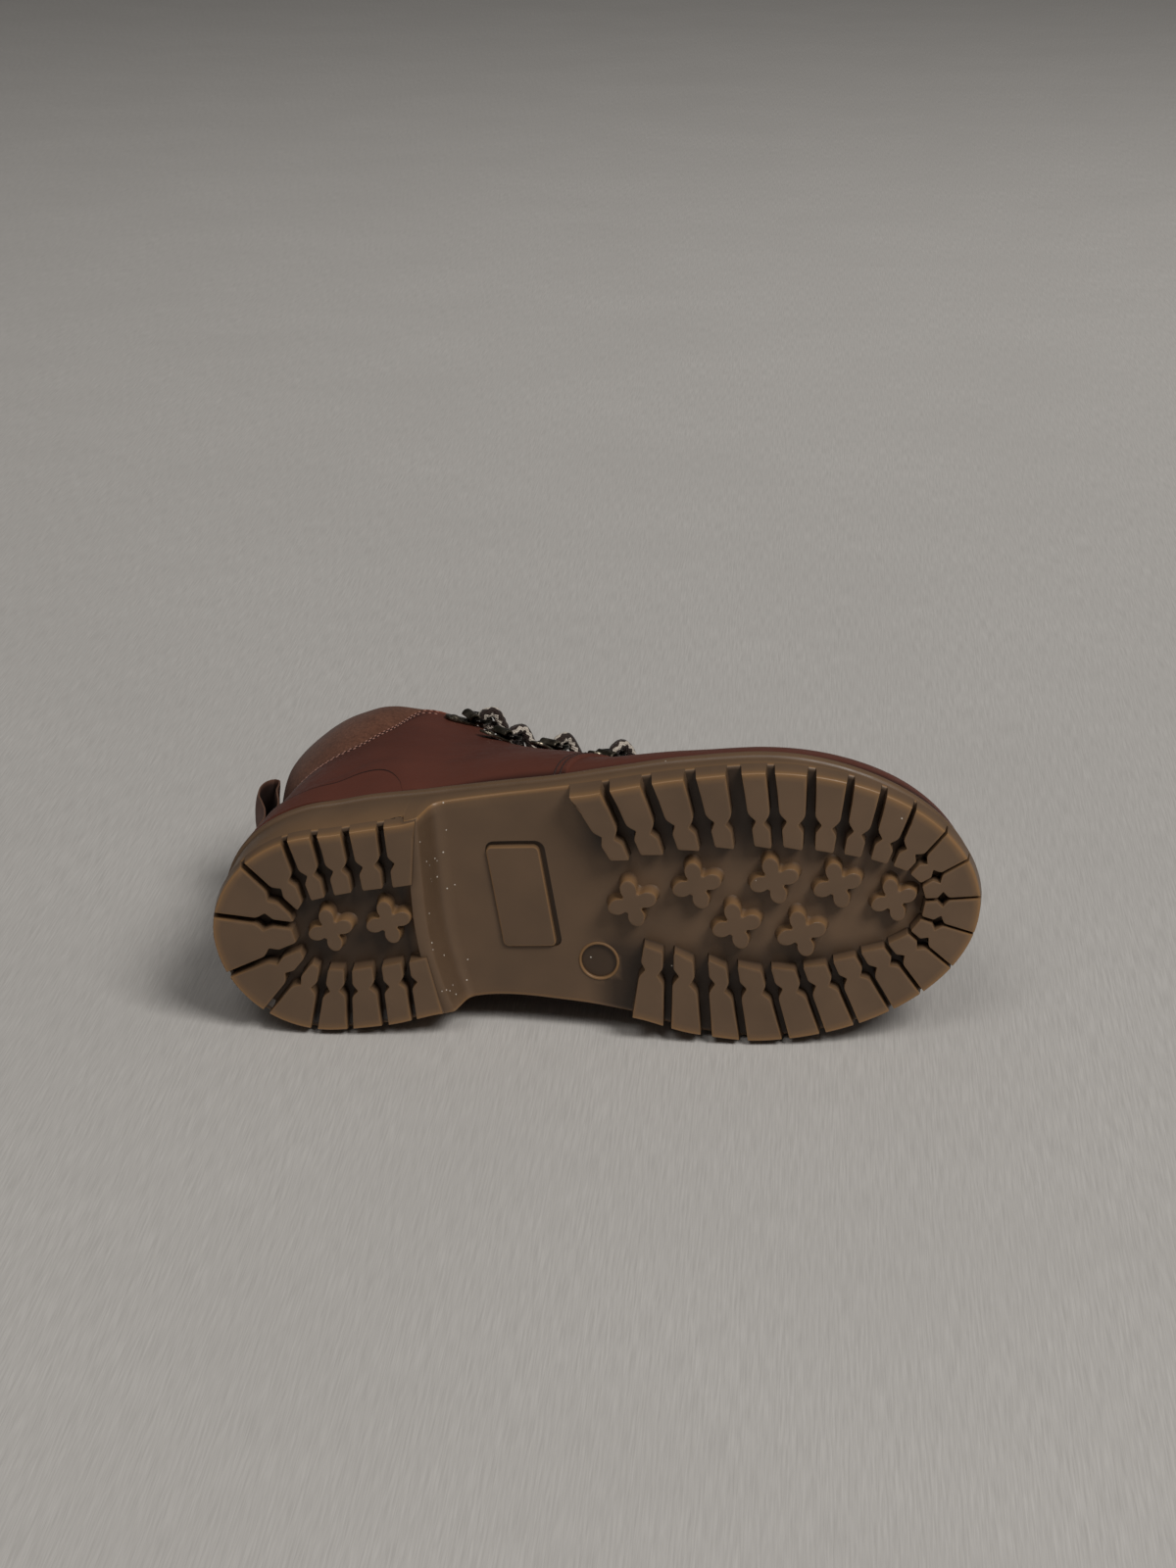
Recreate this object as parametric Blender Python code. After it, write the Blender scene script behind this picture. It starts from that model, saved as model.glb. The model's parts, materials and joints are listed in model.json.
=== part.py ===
"""Child's lace-up leather boot for the right foot, lying on its inner side.

The boot is worked out upright, in millimetres, in its own foot frame: x from the back of the heel to
the toe, y towards the inner side of the foot, z up from the tread. An empty then lays it on its side,
on the face of its convex hull that is under its centre of mass, with the toe along +X.
"""
import math
from collections import namedtuple

import bmesh
import bpy
import numpy as np
from mathutils import Matrix, Vector

MM = 0.001
INNER = 1
OUTER = -1

# Sole outline at the tread: half-widths between a round heel and a round toe
SOLE_LENGTH = 222.0
HEEL_ROUND = 33.0
TOE_ROUND = 64.0
TOE_TIP_Y = 3.5
TOE_CURVE = {INNER: 2.1, OUTER: 1.92}
Outline = namedtuple("Outline", "x inner outer")
OUTLINE = (
    Outline(HEEL_ROUND, 32.0, 29.6),
    Outline(48, 31.2, 31.0),
    Outline(64, 28.4, 32.4),
    Outline(80, 26.6, 34.0),
    Outline(100, 28.4, 36.0),
    Outline(120, 32.0, 38.9),
    Outline(138, 38.0, 41.0),
    Outline(SOLE_LENGTH - TOE_ROUND, 41.0, 41.9),
)

# Sole heights above the tread, which itself rises from the ball of the foot to the toe
TOE_SPRING = 10.5
SPRING_START = 150.0
Level = namedtuple("Level", "x floor top")
LEVELS = (
    Level(0, 5.5, 26.0),
    Level(40, 5.5, 26.0),
    Level(66.5, 10.5, 24.6),
    Level(85, 9.8, 21.8),
    Level(105, 7.6, 18.2),
    Level(125, 5.6, 15.8),
    Level(SPRING_START, 5.0, 14.8),
    Level(SOLE_LENGTH, 4.6, 13.2),
)
HEEL_FLOOR = 5.5
HEEL_BAR_BACK = 58.0
HEEL_BAR_Z = 1.0
BREAST_TOP = 62.0
BREAST_FOOT = 66.5
BREAST_SKEW = 2.0
BREAST_REACH = 14.0
BREAST_STEP = 0.4
SOLE_STATIONS = 32
SOLE_STRIPS = 3
STATION_GAP = 2.5

# Side wall of the sole: how far it stands out from the tread outline, and its height below the top
RIM_OUTSET = 0.8
LIP_OUTSET = 1.9
WallRow = namedtuple("WallRow", "outset below_top")
WALL_ROWS = (
    WallRow(1.1, 3.4),
    WallRow(LIP_OUTSET, 2.8),
    WallRow(LIP_OUTSET, 0.5),
    WallRow(LIP_OUTSET - 0.5, 0.0),
)

# Rings of hourglass lugs round the heel and the forefoot
LUG_DRAFT = 0.35
LUG_ROOT = 1.2
RING_SAMPLES = 80
LugRing = namedtuple("LugRing", "outer_x inner_x turn_end side_count end_count end_pitch "
                     "middle_x end_share side_share width_share side_gap end_gap last_notch")
LUG_RINGS = (
    LugRing(60, 63.5, 1, 4, 5, 1.6, 62, 0.62, 0.20, 0.36, 1.7, 1.4, 0),
    LugRing(107, 121, 0, 9, 5, 1.04, 169, 0.70, 0.12, 0.44, 3.0, 1.1, 1),
)
Slot = namedtuple("Slot", "outer inner gap notch")
LugEdge = namedtuple("LugEdge", "share notch")
LUG_EDGE = (
    LugEdge(0.0, 0.0),
    LugEdge(0.58, 0.0),
    LugEdge(0.67, 1.6),
    LugEdge(0.76, 0.2),
    LugEdge(1.0, 0.0),
)

# Clover studs inside the rings
Clover = namedtuple("Clover", "x y size")
CLOVERS = (
    Clover(34.3, 1.0, 6.0),
    Clover(51.5, -0.7, 6.0),
    Clover(122.6, -3.1, 6.7),
    Clover(141.5, -7.7, 6.7),
    Clover(163.7, -8.0, 6.7),
    Clover(181.6, -5.1, 6.7),
    Clover(197.4, 1.1, 6.2),
    Clover(152.1, 5.2, 6.7),
    Clover(170.6, 8.8, 6.7),
)
CLOVER_WAIST = 0.48
CLOVER_TURN = math.radians(-12)
CLOVER_POINTS = 16
CLOVER_DRAFT = 0.7
CLOVER_DROP = 0.4

# Raised panel and sunk medallion in the waist
PANEL_X = 89.7
PANEL_Y = -3.7
PANEL_HALF_X = 7.8
PANEL_HALF_Y = 15.5
PANEL_LEAN = 0.097
PANEL_RISE = 1.0
PANEL_DRAFT = 0.5
MEDALLION_X = 111.1
MEDALLION_Y = 16.7
MEDALLION_RADIUS = 5.3
MEDALLION_DEPTH = 0.8
MEDALLION_REACH = 3.0
MEDALLION_POINTS = 20

# Upper: one section for each place round the feather edge, from the toe to the heel
FEATHER_INSET = 1.6
WALL = 1.8
QUARTER_STEP = 1.0
PIECE_GAP = 0.3
EDGE_STEP = 0.5
SEAM_FOOT_X = 104
UPPER_ROWS = 8
MIDLINE_START = 120.0
Section = namedtuple("Section", "foot_x top_x top_y top_z fullness swell")
SECTIONS = (
    Section(SOLE_LENGTH, 186, 0, 55.0, 2.5, 0.0),
    Section(206, 186, 0, 55.0, 2.5, 0.0),
    Section(188, 180, 0, 56.5, 2.4, 0.0),
    Section(168, 170, 0, 59.0, 2.3, 0.0),
    Section(148, 160, 0, 61.5, 2.2, 0.3),
    Section(118, 147, 0, 65.5, 2.1, 0.6),
    Section(SEAM_FOOT_X, 138, 11.0, 67.5, 2.0, 0.8),
    Section(95, 123, 16.0, 73.0, 1.95, 1.0),
    Section(87, 108.5, 17.8, 80.0, 1.85, 1.2),
    Section(80, 94, 19.0, 88.0, 1.7, 1.2),
    Section(75, 79.5, 20.6, 96.5, 1.5, 1.2),
    Section(71, 71.5, 22.0, 105.0, 1.35, 1.0),
    Section(67, 66.5, 22.8, 113.5, 1.25, 1.0),
    Section(60, 59.5, 26.3, 114.0, 1.15, 1.2),
    Section(52, 51, 28.5, 114.5, 1.1, 1.4),
    Section(43, 42, 28.3, 97.0, 1.1, 1.6),
    Section(33, 32, 27.0, 88.0, 1.1, 1.8),
    Section(18, 20, 22.0, 86.0, 1.1, 2.2),
    Section(6, 11.5, 12.5, 86.0, 1.1, 2.5),
    Section(0, 8.0, 0, 86.0, 1.1, 2.5),
)
TOE_FEET = (222, 220.4, 216, 209, 200, 190, 180, 169, 158, 147, 136, 126, 118, 111)
QUARTER_FEET = (104, 99.5, 95, 91, 87, 83.5, 80, 77.5, 75, 73, 71, 69, 67)
SHAFT_FEET = (63.5, 60, 56, 52, 47.5, 43, 38, 33, 27, 21, 15, 10, 6, 2.5, 0)

# Leather beside the throat: its slope by height, and the patch that a lace clip covers
Lean = namedtuple("Lean", "z degrees")
FORWARD_BIAS = 0.3
PATCH_FEET = 9
PATCH_SHARE = 0.24
PATCH_ROWS = 13
PATCH_WIDTH = 12.0
PATCH_LENGTH = 11.7
THROAT_LEANS = (Lean(65.5, 90), Lean(68.5, 64), Lean(81, 50), Lean(97, 26), Lean(113.5, 8))

# Padded collar above the seam
COLLAR_FEET = (52, 47.5, 43, 38, 33, 27, 21, 15, 10, 6, 2.5, 0)
COLLAR_PUFF = 3.6
COLLAR_PAD = 6.5
COLLAR_FULL_HEIGHT = 26.0
COLLAR_GAP = 0.45
Rim = namedtuple("Rim", "foot_x x y z")
RIMS = (
    Rim(52, 51.5, 27.8, 118.0),
    Rim(43, 41, 29.0, 119.0),
    Rim(33, 30, 27.5, 119.0),
    Rim(18, 17, 20.5, 118.5),
    Rim(6, 8, 11.0, 118.0),
    Rim(0, 4.5, 0, 118.0),
)
CollarPoint = namedtuple("CollarPoint", "height puff pad")
COLLAR_PROFILE = (
    CollarPoint(0.0, 0.0, 0.0),
    CollarPoint(0.2, 0.7, 0.0),
    CollarPoint(0.48, 1.0, 0.0),
    CollarPoint(0.76, 0.8, 0.0),
    CollarPoint(0.94, 0.25, 0.0),
    CollarPoint(1.0, 0.0, 0.5),
    CollarPoint(0.94, 0.0, 0.95),
    CollarPoint(0.7, 0.0, 1.2),
    CollarPoint(0.35, 0.0, 1.05),
    CollarPoint(0.0, 0.0, 0.43),
)

# Heel counter, a leather overlay on the quarters
COUNTER_FRONT_X = 56.0
COUNTER_ROUND = 20.0
COUNTER_SHARE = 0.40
COUNTER_LEAST = 0.06
COUNTER_THICKNESS = 0.8
COUNTER_ROWS = 3
COUNTER_FOOT_SHARE = 0.02
COUNTER_FEET = (56, 55, 52, 47.5, 43, 38, 33, 27, 21, 15, 10, 6, 2.5, 0)

# Tongue and insole
TONGUE_FEET = (99.5, 95, 91, 87, 83.5, 80, 77.5, 75, 73, 71, 69, 67.6)
Tuck = namedtuple("Tuck", "forward drop spread")
TONGUE_TUCKS = (Tuck(16.0, 10.5, 0.45), Tuck(6.5, 6.8, 0.58))
TONGUE_THICKNESS = 3.0
TONGUE_GAP = 0.6
TONGUE_MARGIN = 7.0
TONGUE_MARGIN_DROP = 1.2
TONGUE_CROWN = 0.016
TONGUE_ACROSS = 6
TONGUE_TOP_STEPS = (6.0, 11.0)
INSOLE_THICKNESS = 3.0
INSOLE_STATIONS = 26
INSOLE_INSET = FEATHER_INSET + WALL + 1.6

# Pull loop: the path of its inner face at the back of the heel
LoopPoint = namedtuple("LoopPoint", "x z")
LOOP_PATH = (
    LoopPoint(1.95, 66.0),
    LoopPoint(3.1, 72.0),
    LoopPoint(1.3, 80.0),
    LoopPoint(-1.6, 88.0),
    LoopPoint(-3.7, 96.0),
    LoopPoint(-4.1, 102.0),
    LoopPoint(-3.0, 106.8),
    LoopPoint(-0.8, 108.9),
    LoopPoint(1.0, 107.8),
)
LOOP_WIDTH = 15.0
LOOP_THICKNESS = 1.5
LOOP_WRAP = 0.9
LOOP_SAMPLES = 18

# Lace hardware, one row for each pair from the top down
LACE_ROW_FEET = (68.0, 74.4, 79.8, 88.6, 97.0)
CLIP_SETBACK = 1.8
CLIP_LENGTH = 9.0
CLIP_WIDTH = 6.0
CLIP_SHEET = 0.9
CLIP_GAP = 0.45
RING_WIRE = 0.8
RING_CLEARANCE = 0.35
RING_HALF_WIDTH = 4.3
RING_REACH = 6.6
RING_TILT = math.radians(35)
RING_POINTS = 12
RING_SIDES = 4
CURL_FROM = math.radians(-90)
CURL_TO = math.radians(190)
CURL_POINTS = 6
LACE_RADIUS = 2.1
LACE_SIDES = 6
LACE_GAP = 0.5
LACE_LEAD = 3.0
LACE_SHIFT = 2.4
LACE_SAMPLES = 10
LACE_PHASE = 0.2

Finish = namedtuple("Finish", "red green blue roughness metallic")
FINISHES = {
    "gum_rubber": Finish(88, 69, 52, 0.5, 0.0),
    "smooth_leather": Finish(76, 48, 40, 0.45, 0.0),
    "nubuck": Finish(92, 62, 50, 0.9, 0.0),
    "strap_leather": Finish(64, 42, 36, 0.6, 0.0),
    "lining": Finish(96, 78, 62, 0.9, 0.0),
    "lace": Finish(96, 86, 76, 0.85, 0.0),
    "gunmetal": Finish(96, 90, 80, 0.35, 1.0),
}

pieces = []


def clear_scene():
    for thing in list(bpy.data.objects):
        bpy.data.objects.remove(thing, do_unlink=True)


def linear(level):
    """Linear light of an 8-bit display colour level."""
    share = level / 255
    return share / 12.92 if share <= 0.04045 else ((share + 0.055) / 1.055) ** 2.4


def finish_material(name, finish):
    material = bpy.data.materials.new(name)
    material.use_nodes = True
    shader = material.node_tree.nodes["Principled BSDF"]
    colour = [linear(level) for level in (finish.red, finish.green, finish.blue)]
    shader.inputs["Base Color"].default_value = (*colour, 1.0)
    shader.inputs["Roughness"].default_value = finish.roughness
    shader.inputs["Metallic"].default_value = finish.metallic
    return material


def add_piece(name, verts, faces, finish, helper=False):
    """Makes one mesh object from points in millimetres, with its own material."""
    mesh = bpy.data.meshes.new(name)
    mesh.from_pydata([tuple(np.asarray(point) * MM) for point in verts], [], faces)
    shape = bmesh.new()
    shape.from_mesh(mesh)
    bmesh.ops.remove_doubles(shape, verts=shape.verts, dist=1e-7)
    bmesh.ops.recalc_face_normals(shape, faces=shape.faces)
    shape.to_mesh(mesh)
    shape.free()
    mesh.materials.append(finish_material(name, FINISHES[finish]))
    mesh.shade_smooth()
    mesh.set_sharp_from_angle(angle=math.radians(35))
    thing = bpy.data.objects.new(name, mesh)
    bpy.context.scene.collection.objects.link(thing)
    if helper:
        thing.hide_render = True
        thing.display_type = "WIRE"
    pieces.append(thing)
    return thing


def combine(thing, helper, operation):
    """Joins or cuts an object with a helper object."""
    cut = thing.modifiers.new(helper.name, "BOOLEAN")
    cut.object = helper
    cut.operation = operation
    cut.solver = "EXACT"


def curve(keys, values, at, level_ends=False):
    """Monotone cubic curve through the values at rising keys."""
    keys = np.asarray(keys, float)
    values = np.asarray(values, float)
    rises = np.diff(values) / np.diff(keys)
    slopes = np.concatenate(([rises[0]], np.zeros(len(keys) - 2), [rises[-1]]))
    for i in range(1, len(keys) - 1):
        if rises[i - 1] * rises[i] > 0:
            slopes[i] = 2 * rises[i - 1] * rises[i] / (rises[i - 1] + rises[i])
    if level_ends:
        slopes[0] = slopes[-1] = 0
    i = min(max(int(np.searchsorted(keys, at, side="right")) - 1, 0), len(keys) - 2)
    span = keys[i + 1] - keys[i]
    t = min(max((at - keys[i]) / span, 0), 1)
    start = (1 + 2 * t) * (1 - t) ** 2 * values[i] + t * (1 - t) ** 2 * span * slopes[i]
    end = t * t * (3 - 2 * t) * values[i + 1] + t * t * (t - 1) * span * slopes[i + 1]
    return float(start + end)


def column(table, key, name, at, level_ends=False):
    """Reads one column of a table as a smooth curve over its key column."""
    rows = sorted(table, key=lambda row: getattr(row, key))
    keys = [getattr(row, key) for row in rows]
    return curve(keys, [getattr(row, name) for row in rows], at, level_ends)


def smooth_path(points, samples):
    """Even samples of a smooth curve through a few points."""
    points = np.asarray(points, float)
    steps = np.concatenate(([0], np.cumsum(np.linalg.norm(np.diff(points, axis=0), axis=1))))
    places = np.linspace(0, steps[-1], samples)
    return np.array([[curve(steps, points[:, axis], place) for axis in range(3)] for place in places])


def unit(vector):
    return vector / np.linalg.norm(vector)


def turn_at(x):
    """Place round one side of the boot, from 0 at the toe to 1 at the heel, for a length x."""
    return math.acos(min(max(2 * x / SOLE_LENGTH - 1, -1), 1)) / math.pi


def length_at(turn):
    return SOLE_LENGTH * (1 + math.cos(math.pi * turn)) / 2


def outline_y(x, side):
    """Signed half-width of the tread at a length x."""
    name = "inner" if side == INNER else "outer"
    toe_start = SOLE_LENGTH - TOE_ROUND
    if x < HEEL_ROUND:
        share = max(1 - ((HEEL_ROUND - x) / HEEL_ROUND) ** 2, 0) ** 0.5
        return side * getattr(OUTLINE[0], name) * share
    if x > toe_start:
        power = TOE_CURVE[side]
        share = max(1 - ((x - toe_start) / TOE_ROUND) ** power, 0) ** (1 / power)
        return TOE_TIP_Y + (side * getattr(OUTLINE[-1], name) - TOE_TIP_Y) * share
    return side * column(OUTLINE, "x", name, x, level_ends=True)


def outline_normal(turn, side):
    """Level direction that points out of the sole's outline."""
    if turn < 1e-6:
        return np.array([1.0, 0.0])
    if turn > 1 - 1e-6:
        return np.array([-1.0, 0.0])
    step = 1e-4
    ahead, behind = length_at(turn - step), length_at(turn + step)
    along = np.array([ahead - behind, outline_y(ahead, side) - outline_y(behind, side)])
    return unit(np.array([-along[1], along[0]]) * side)


def outline_point(turn, side, outset):
    x = length_at(turn)
    return np.array([x, outline_y(x, side)]) + outline_normal(turn, side) * outset


def tread_height(x):
    rise = max(x - SPRING_START, 0) / (SOLE_LENGTH - SPRING_START)
    return TOE_SPRING * rise ** 2


def floor_height(x):
    """Underside of the sole between its lugs: heel, bar, breast, arch and forefoot."""
    if x < HEEL_BAR_BACK + BREAST_STEP:
        return HEEL_FLOOR
    if x < BREAST_TOP + BREAST_STEP:
        return HEEL_BAR_Z
    return column(LEVELS, "x", "floor", x) + tread_height(x)


def top_height(x):
    return column(LEVELS, "x", "top", x) + tread_height(x)


def loft(rings, caps=True):
    """Points and faces of a skin over closed rings of equal length."""
    count = len(rings[0])
    verts = [point for ring in rings for point in ring]
    faces = []
    for i in range(len(rings) - 1):
        for j in range(count):
            k = (j + 1) % count
            faces.append((i * count + j, i * count + k, (i + 1) * count + k, (i + 1) * count + j))
    if caps:
        faces.append(tuple(range(count)))
        faces.append(tuple(range((len(rings) - 1) * count, len(rings) * count)))
    return verts, faces


def join(parts):
    """One list of points and faces from several."""
    verts, faces = [], []
    for part_verts, part_faces in parts:
        start = len(verts)
        verts.extend(part_verts)
        faces.extend(tuple(index + start for index in face) for face in part_faces)
    return verts, faces


def sole_station(x):
    """Ring of points round the sole at one length, aslant near the heel breast."""
    slant = BREAST_SKEW * math.exp(-((x - BREAST_TOP) / BREAST_REACH) ** 2) if 0 < x < SOLE_LENGTH else 0
    turns = {side: turn_at(x + side * slant) for side in (OUTER, INNER)}
    shares = np.linspace(0, 1, SOLE_STRIPS + 1)
    edge = {side: outline_point(turns[side], side, RIM_OUTSET) for side in turns}
    floor = [edge[OUTER] + (edge[INNER] - edge[OUTER]) * share for share in shares]
    walls = {}
    for side in turns:
        rows = [(outline_point(turns[side], side, row.outset), row.below_top) for row in WALL_ROWS]
        walls[side] = [(*point, top_height(point[0]) - below) for point, below in rows]
    first, last = (np.array(walls[side][-1][:2]) for side in (INNER, OUTER))
    top = [first + (last - first) * share for share in shares[1:-1]]
    ring = [(*point, floor_height(x)) for point in floor] + walls[INNER]
    return ring + [(*point, top_height(point[0])) for point in top] + walls[OUTER][::-1]


def sole_body():
    even = [length_at(turn) for turn in np.linspace(1, 0, SOLE_STATIONS)]
    breast = [HEEL_BAR_BACK, HEEL_BAR_BACK + 2 * BREAST_STEP, BREAST_TOP, BREAST_FOOT]
    kept = [x for x in even[1:-1] if x < breast[0] - STATION_GAP or x > breast[-1] + STATION_GAP]
    places = sorted([0.0, SOLE_LENGTH] + breast + kept)
    return loft([sole_station(x) for x in places], caps=False)


def ring_slots(ring):
    """Slots between the lugs of a ring, from the tread's outline inwards, and the outline between them."""
    turns = [(turn, OUTER) for turn in np.linspace(turn_at(ring.outer_x), ring.turn_end, RING_SAMPLES)]
    turns += [(turn, INNER) for turn in np.linspace(ring.turn_end, turn_at(ring.inner_x), RING_SAMPLES)[1:]]
    path = np.array([outline_point(turn, side, 0) for turn, side in turns])
    steps = np.concatenate(([0], np.cumsum(np.linalg.norm(np.diff(path, axis=0), axis=1))))
    sides = [1.0] * ring.side_count
    pitches = np.array(sides + [ring.end_pitch] * ring.end_count + sides)
    marks = np.concatenate(([0], np.cumsum(pitches))) / pitches.sum() * steps[-1]
    width = max(abs(path[:, 1]))

    def at(mark):
        point = np.array([np.interp(mark, steps, path[:, axis]) for axis in range(2)])
        share = ring.end_share + ring.side_share * abs(point[1]) / width
        inner = np.array([ring.middle_x + share * (point[0] - ring.middle_x), ring.width_share * point[1]])
        return point, inner

    slots = []
    for i in range(len(marks)):
        at_end = ring.side_count <= i <= ring.side_count + ring.end_count
        slots.append(Slot(*at(marks[i]), ring.end_gap if at_end else ring.side_gap, 1))
    for i in (0, -1):
        slots[i] = slots[i]._replace(gap=0.0, notch=ring.last_notch)
    middles = [at((a + b) / 2)[0] for a, b in zip(marks, marks[1:])]
    return slots, middles


def lug_edge(slot, toward, grow):
    """One side of a lug, from the tread's edge inwards."""
    run = slot.inner - slot.outer
    across = unit(np.array([-run[1], run[0]]))
    if np.dot(across, toward) < 0:
        across = -across
    points = []
    for row in LUG_EDGE:
        reach = row.share + (grow / np.linalg.norm(run) if row.share == 1 else 0)
        aside = slot.gap / 2 + slot.notch * row.notch - grow
        points.append(slot.outer + run * reach + across * aside)
    return points


def lug(first, last, middle, grow):
    """Plan of one lug between two slots, grown outwards for its root."""
    toward = last.outer - first.outer
    left = lug_edge(first, toward, grow)
    right = lug_edge(last, -toward, grow)
    outward = unit(first.outer - first.inner + last.outer - last.inner) * grow
    left[0], right[0] = left[0] + outward, right[0] + outward
    return left + right[::-1] + [middle + outward]


def raised(face, root, drop=0.0):
    """Stud between a plan at the tread and a larger plan sunk into the sole."""
    low = [(*point, tread_height(point[0]) + drop) for point in face]
    high = [(*point, floor_height(point[0]) + LUG_ROOT) for point in root]
    return loft([low, high])


def lug_studs():
    studs = []
    for ring in LUG_RINGS:
        slots, middles = ring_slots(ring)
        for first, last, middle in zip(slots, slots[1:], middles):
            studs.append(raised(lug(first, last, middle, 0.0), lug(first, last, middle, LUG_DRAFT)))
    return studs


def clover_plan(clover, grow):
    """Four round petals."""
    points = []
    for i in range(CLOVER_POINTS):
        angle = 2 * math.pi * i / CLOVER_POINTS
        petal = (1 + math.cos(4 * angle)) / 2
        radius = clover.size * (CLOVER_WAIST + (1 - CLOVER_WAIST) * petal) + grow
        heading = angle + CLOVER_TURN
        points.append(np.array([clover.x + radius * math.cos(heading), clover.y + radius * math.sin(heading)]))
    return points


def clover_studs():
    studs = []
    for clover in CLOVERS:
        studs.append(raised(clover_plan(clover, 0.0), clover_plan(clover, CLOVER_DRAFT), CLOVER_DROP))
    return studs


def panel_stud():
    """Low skewed panel that follows the arch of the waist."""
    rings = []
    for grow, rise in ((0.0, PANEL_RISE), (PANEL_DRAFT, 0.0), (PANEL_DRAFT, -LUG_ROOT)):
        ring = []
        for corner_x, corner_y in ((-1, -1), (1, -1), (1, 1), (-1, 1)):
            y = corner_y * (PANEL_HALF_Y + grow)
            x = PANEL_X + corner_x * (PANEL_HALF_X + grow) + PANEL_LEAN * y
            ring.append((x, PANEL_Y + y, floor_height(x) - rise))
        rings.append(ring)
    return loft(rings)


def medallion_cutter():
    circle = [2 * math.pi * i / MEDALLION_POINTS for i in range(MEDALLION_POINTS)]
    plan = [(MEDALLION_X + MEDALLION_RADIUS * math.cos(a), MEDALLION_Y + MEDALLION_RADIUS * math.sin(a))
            for a in circle]
    return loft([[(x, y, floor_height(x) + rise) for x, y in plan] for rise in (-MEDALLION_REACH, MEDALLION_DEPTH)])


def make_outsole():
    sole = add_piece("outsole", *sole_body(), "gum_rubber")
    tread = add_piece("tread_studs", *join(lug_studs() + clover_studs() + [panel_stud()]), "gum_rubber", True)
    medallion = add_piece("medallion_cutter", *medallion_cutter(), "gum_rubber", True)
    combine(sole, tread, "UNION")
    combine(sole, medallion, "DIFFERENCE")


def midline_y(x):
    """Sideways curve of the foot's middle towards the big toe."""
    return TOE_TIP_Y * (max(x - MIDLINE_START, 0) / (SOLE_LENGTH - MIDLINE_START)) ** 2


def section_value(name, turn):
    turned = [row._replace(foot_x=turn_at(row.foot_x)) for row in SECTIONS]
    return column(turned, "foot_x", name, turn)


def upper_point(foot_x, side, share):
    """Point on the last: round the boot by foot_x and side, up it by share from 0 to 1."""
    turn = turn_at(foot_x)
    fullness = section_value("fullness", turn)
    top_x = section_value("top_x", turn)
    top = np.array([top_x, midline_y(top_x) + side * section_value("top_y", turn)])
    foot = outline_point(turn, side, -FEATHER_INSET)
    foot_z = top_height(foot[0]) + PIECE_GAP
    angle = share * math.pi / 2
    inward = 1 - math.cos(angle) ** (2 / fullness) if share < 1 else 1.0
    upward = math.sin(angle) ** (2 / fullness)
    swell = section_value("swell", turn) * math.sin(math.pi * upward)
    level = foot + (top - foot) * inward + outline_normal(turn, side) * swell
    return np.array([*level, foot_z + (section_value("top_z", turn) - foot_z) * upward])


def merged(points):
    """Index of each point among the points that differ."""
    seen = {}
    return [seen.setdefault(tuple(np.round(point, 4)), len(seen)) for point in points]


def sheet_normals(points, faces):
    """Outward normal at each point of a sheet, shared where points coincide."""
    same = merged(points)
    sums = np.zeros((max(same) + 1, 3))
    for face in faces:
        corners = [points[index] for index in face]
        area = np.cross(corners[2] - corners[0], corners[3] - corners[1])
        for index in face:
            sums[same[index]] += area
    return np.array([unit(sums[index]) for index in same])


def thick_sheet(points, faces, above, below, level_edge=()):
    """Closed wall round a sheet of quads, by a distance above and below each point."""
    points = np.asarray(points, float)
    above = np.broadcast_to(above, len(points))
    below = np.broadcast_to(below, len(points))
    normals = sheet_normals(points, faces)
    for index in level_edge:
        normals[index] = unit(normals[index] * (1, 1, 0))
    over = points + normals * above[:, None]
    under = points - normals * below[:, None]
    names = merged(np.column_stack((points, above)))
    sides = {}
    for face in faces:
        for a, b in zip(face, face[1:] + face[:1]):
            if names[a] != names[b]:
                sides.setdefault(frozenset((names[a], names[b])), []).append((a, b))
    count = len(points)
    skin = list(faces) + [tuple(index + count for index in reversed(face)) for face in faces]
    for uses in sides.values():
        if len(uses) == 1:
            a, b = uses[0]
            skin.append((b, a, a + count, b + count))
    return np.concatenate((over, under)), skin


def grid_faces(rows, columns, start, flip):
    faces = []
    for i in range(rows - 1):
        for j in range(columns - 1):
            a = start + i * columns + j
            face = (a, a + columns, a + columns + 1, a + 1)
            faces.append(face[::-1] if flip else face)
    return faces


def make_upper():
    """Vamp and quarters in one wall, with the step of the seam where the quarters lie over the vamp."""
    shares = np.linspace(0, 1, UPPER_ROWS + 1)
    feet = [(x, 0.0) for x in TOE_FEET + (SEAM_FOOT_X,)]
    feet += [(x, QUARTER_STEP) for x in QUARTER_FEET + SHAFT_FEET]
    points, faces, above = [], [], []
    for side in (OUTER, INNER):
        start = len(points)
        for foot_x, step in feet:
            points.extend(upper_point(foot_x, side, share) for share in shares)
            above.extend([step] * len(shares))
        faces += grid_faces(len(feet), len(shares), start, side == OUTER)
    edge = range(0, len(points), len(shares))
    add_piece("upper", *thick_sheet(points, faces, above, WALL, edge), "smooth_leather")


def counter_share(foot_x):
    """How far up the wall the counter reaches, with a round front corner."""
    drop = max(foot_x - (COUNTER_FRONT_X - COUNTER_ROUND), 0) / COUNTER_ROUND
    return COUNTER_LEAST + (COUNTER_SHARE - COUNTER_LEAST) * max(1 - drop ** 2, 0) ** 0.5


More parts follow.
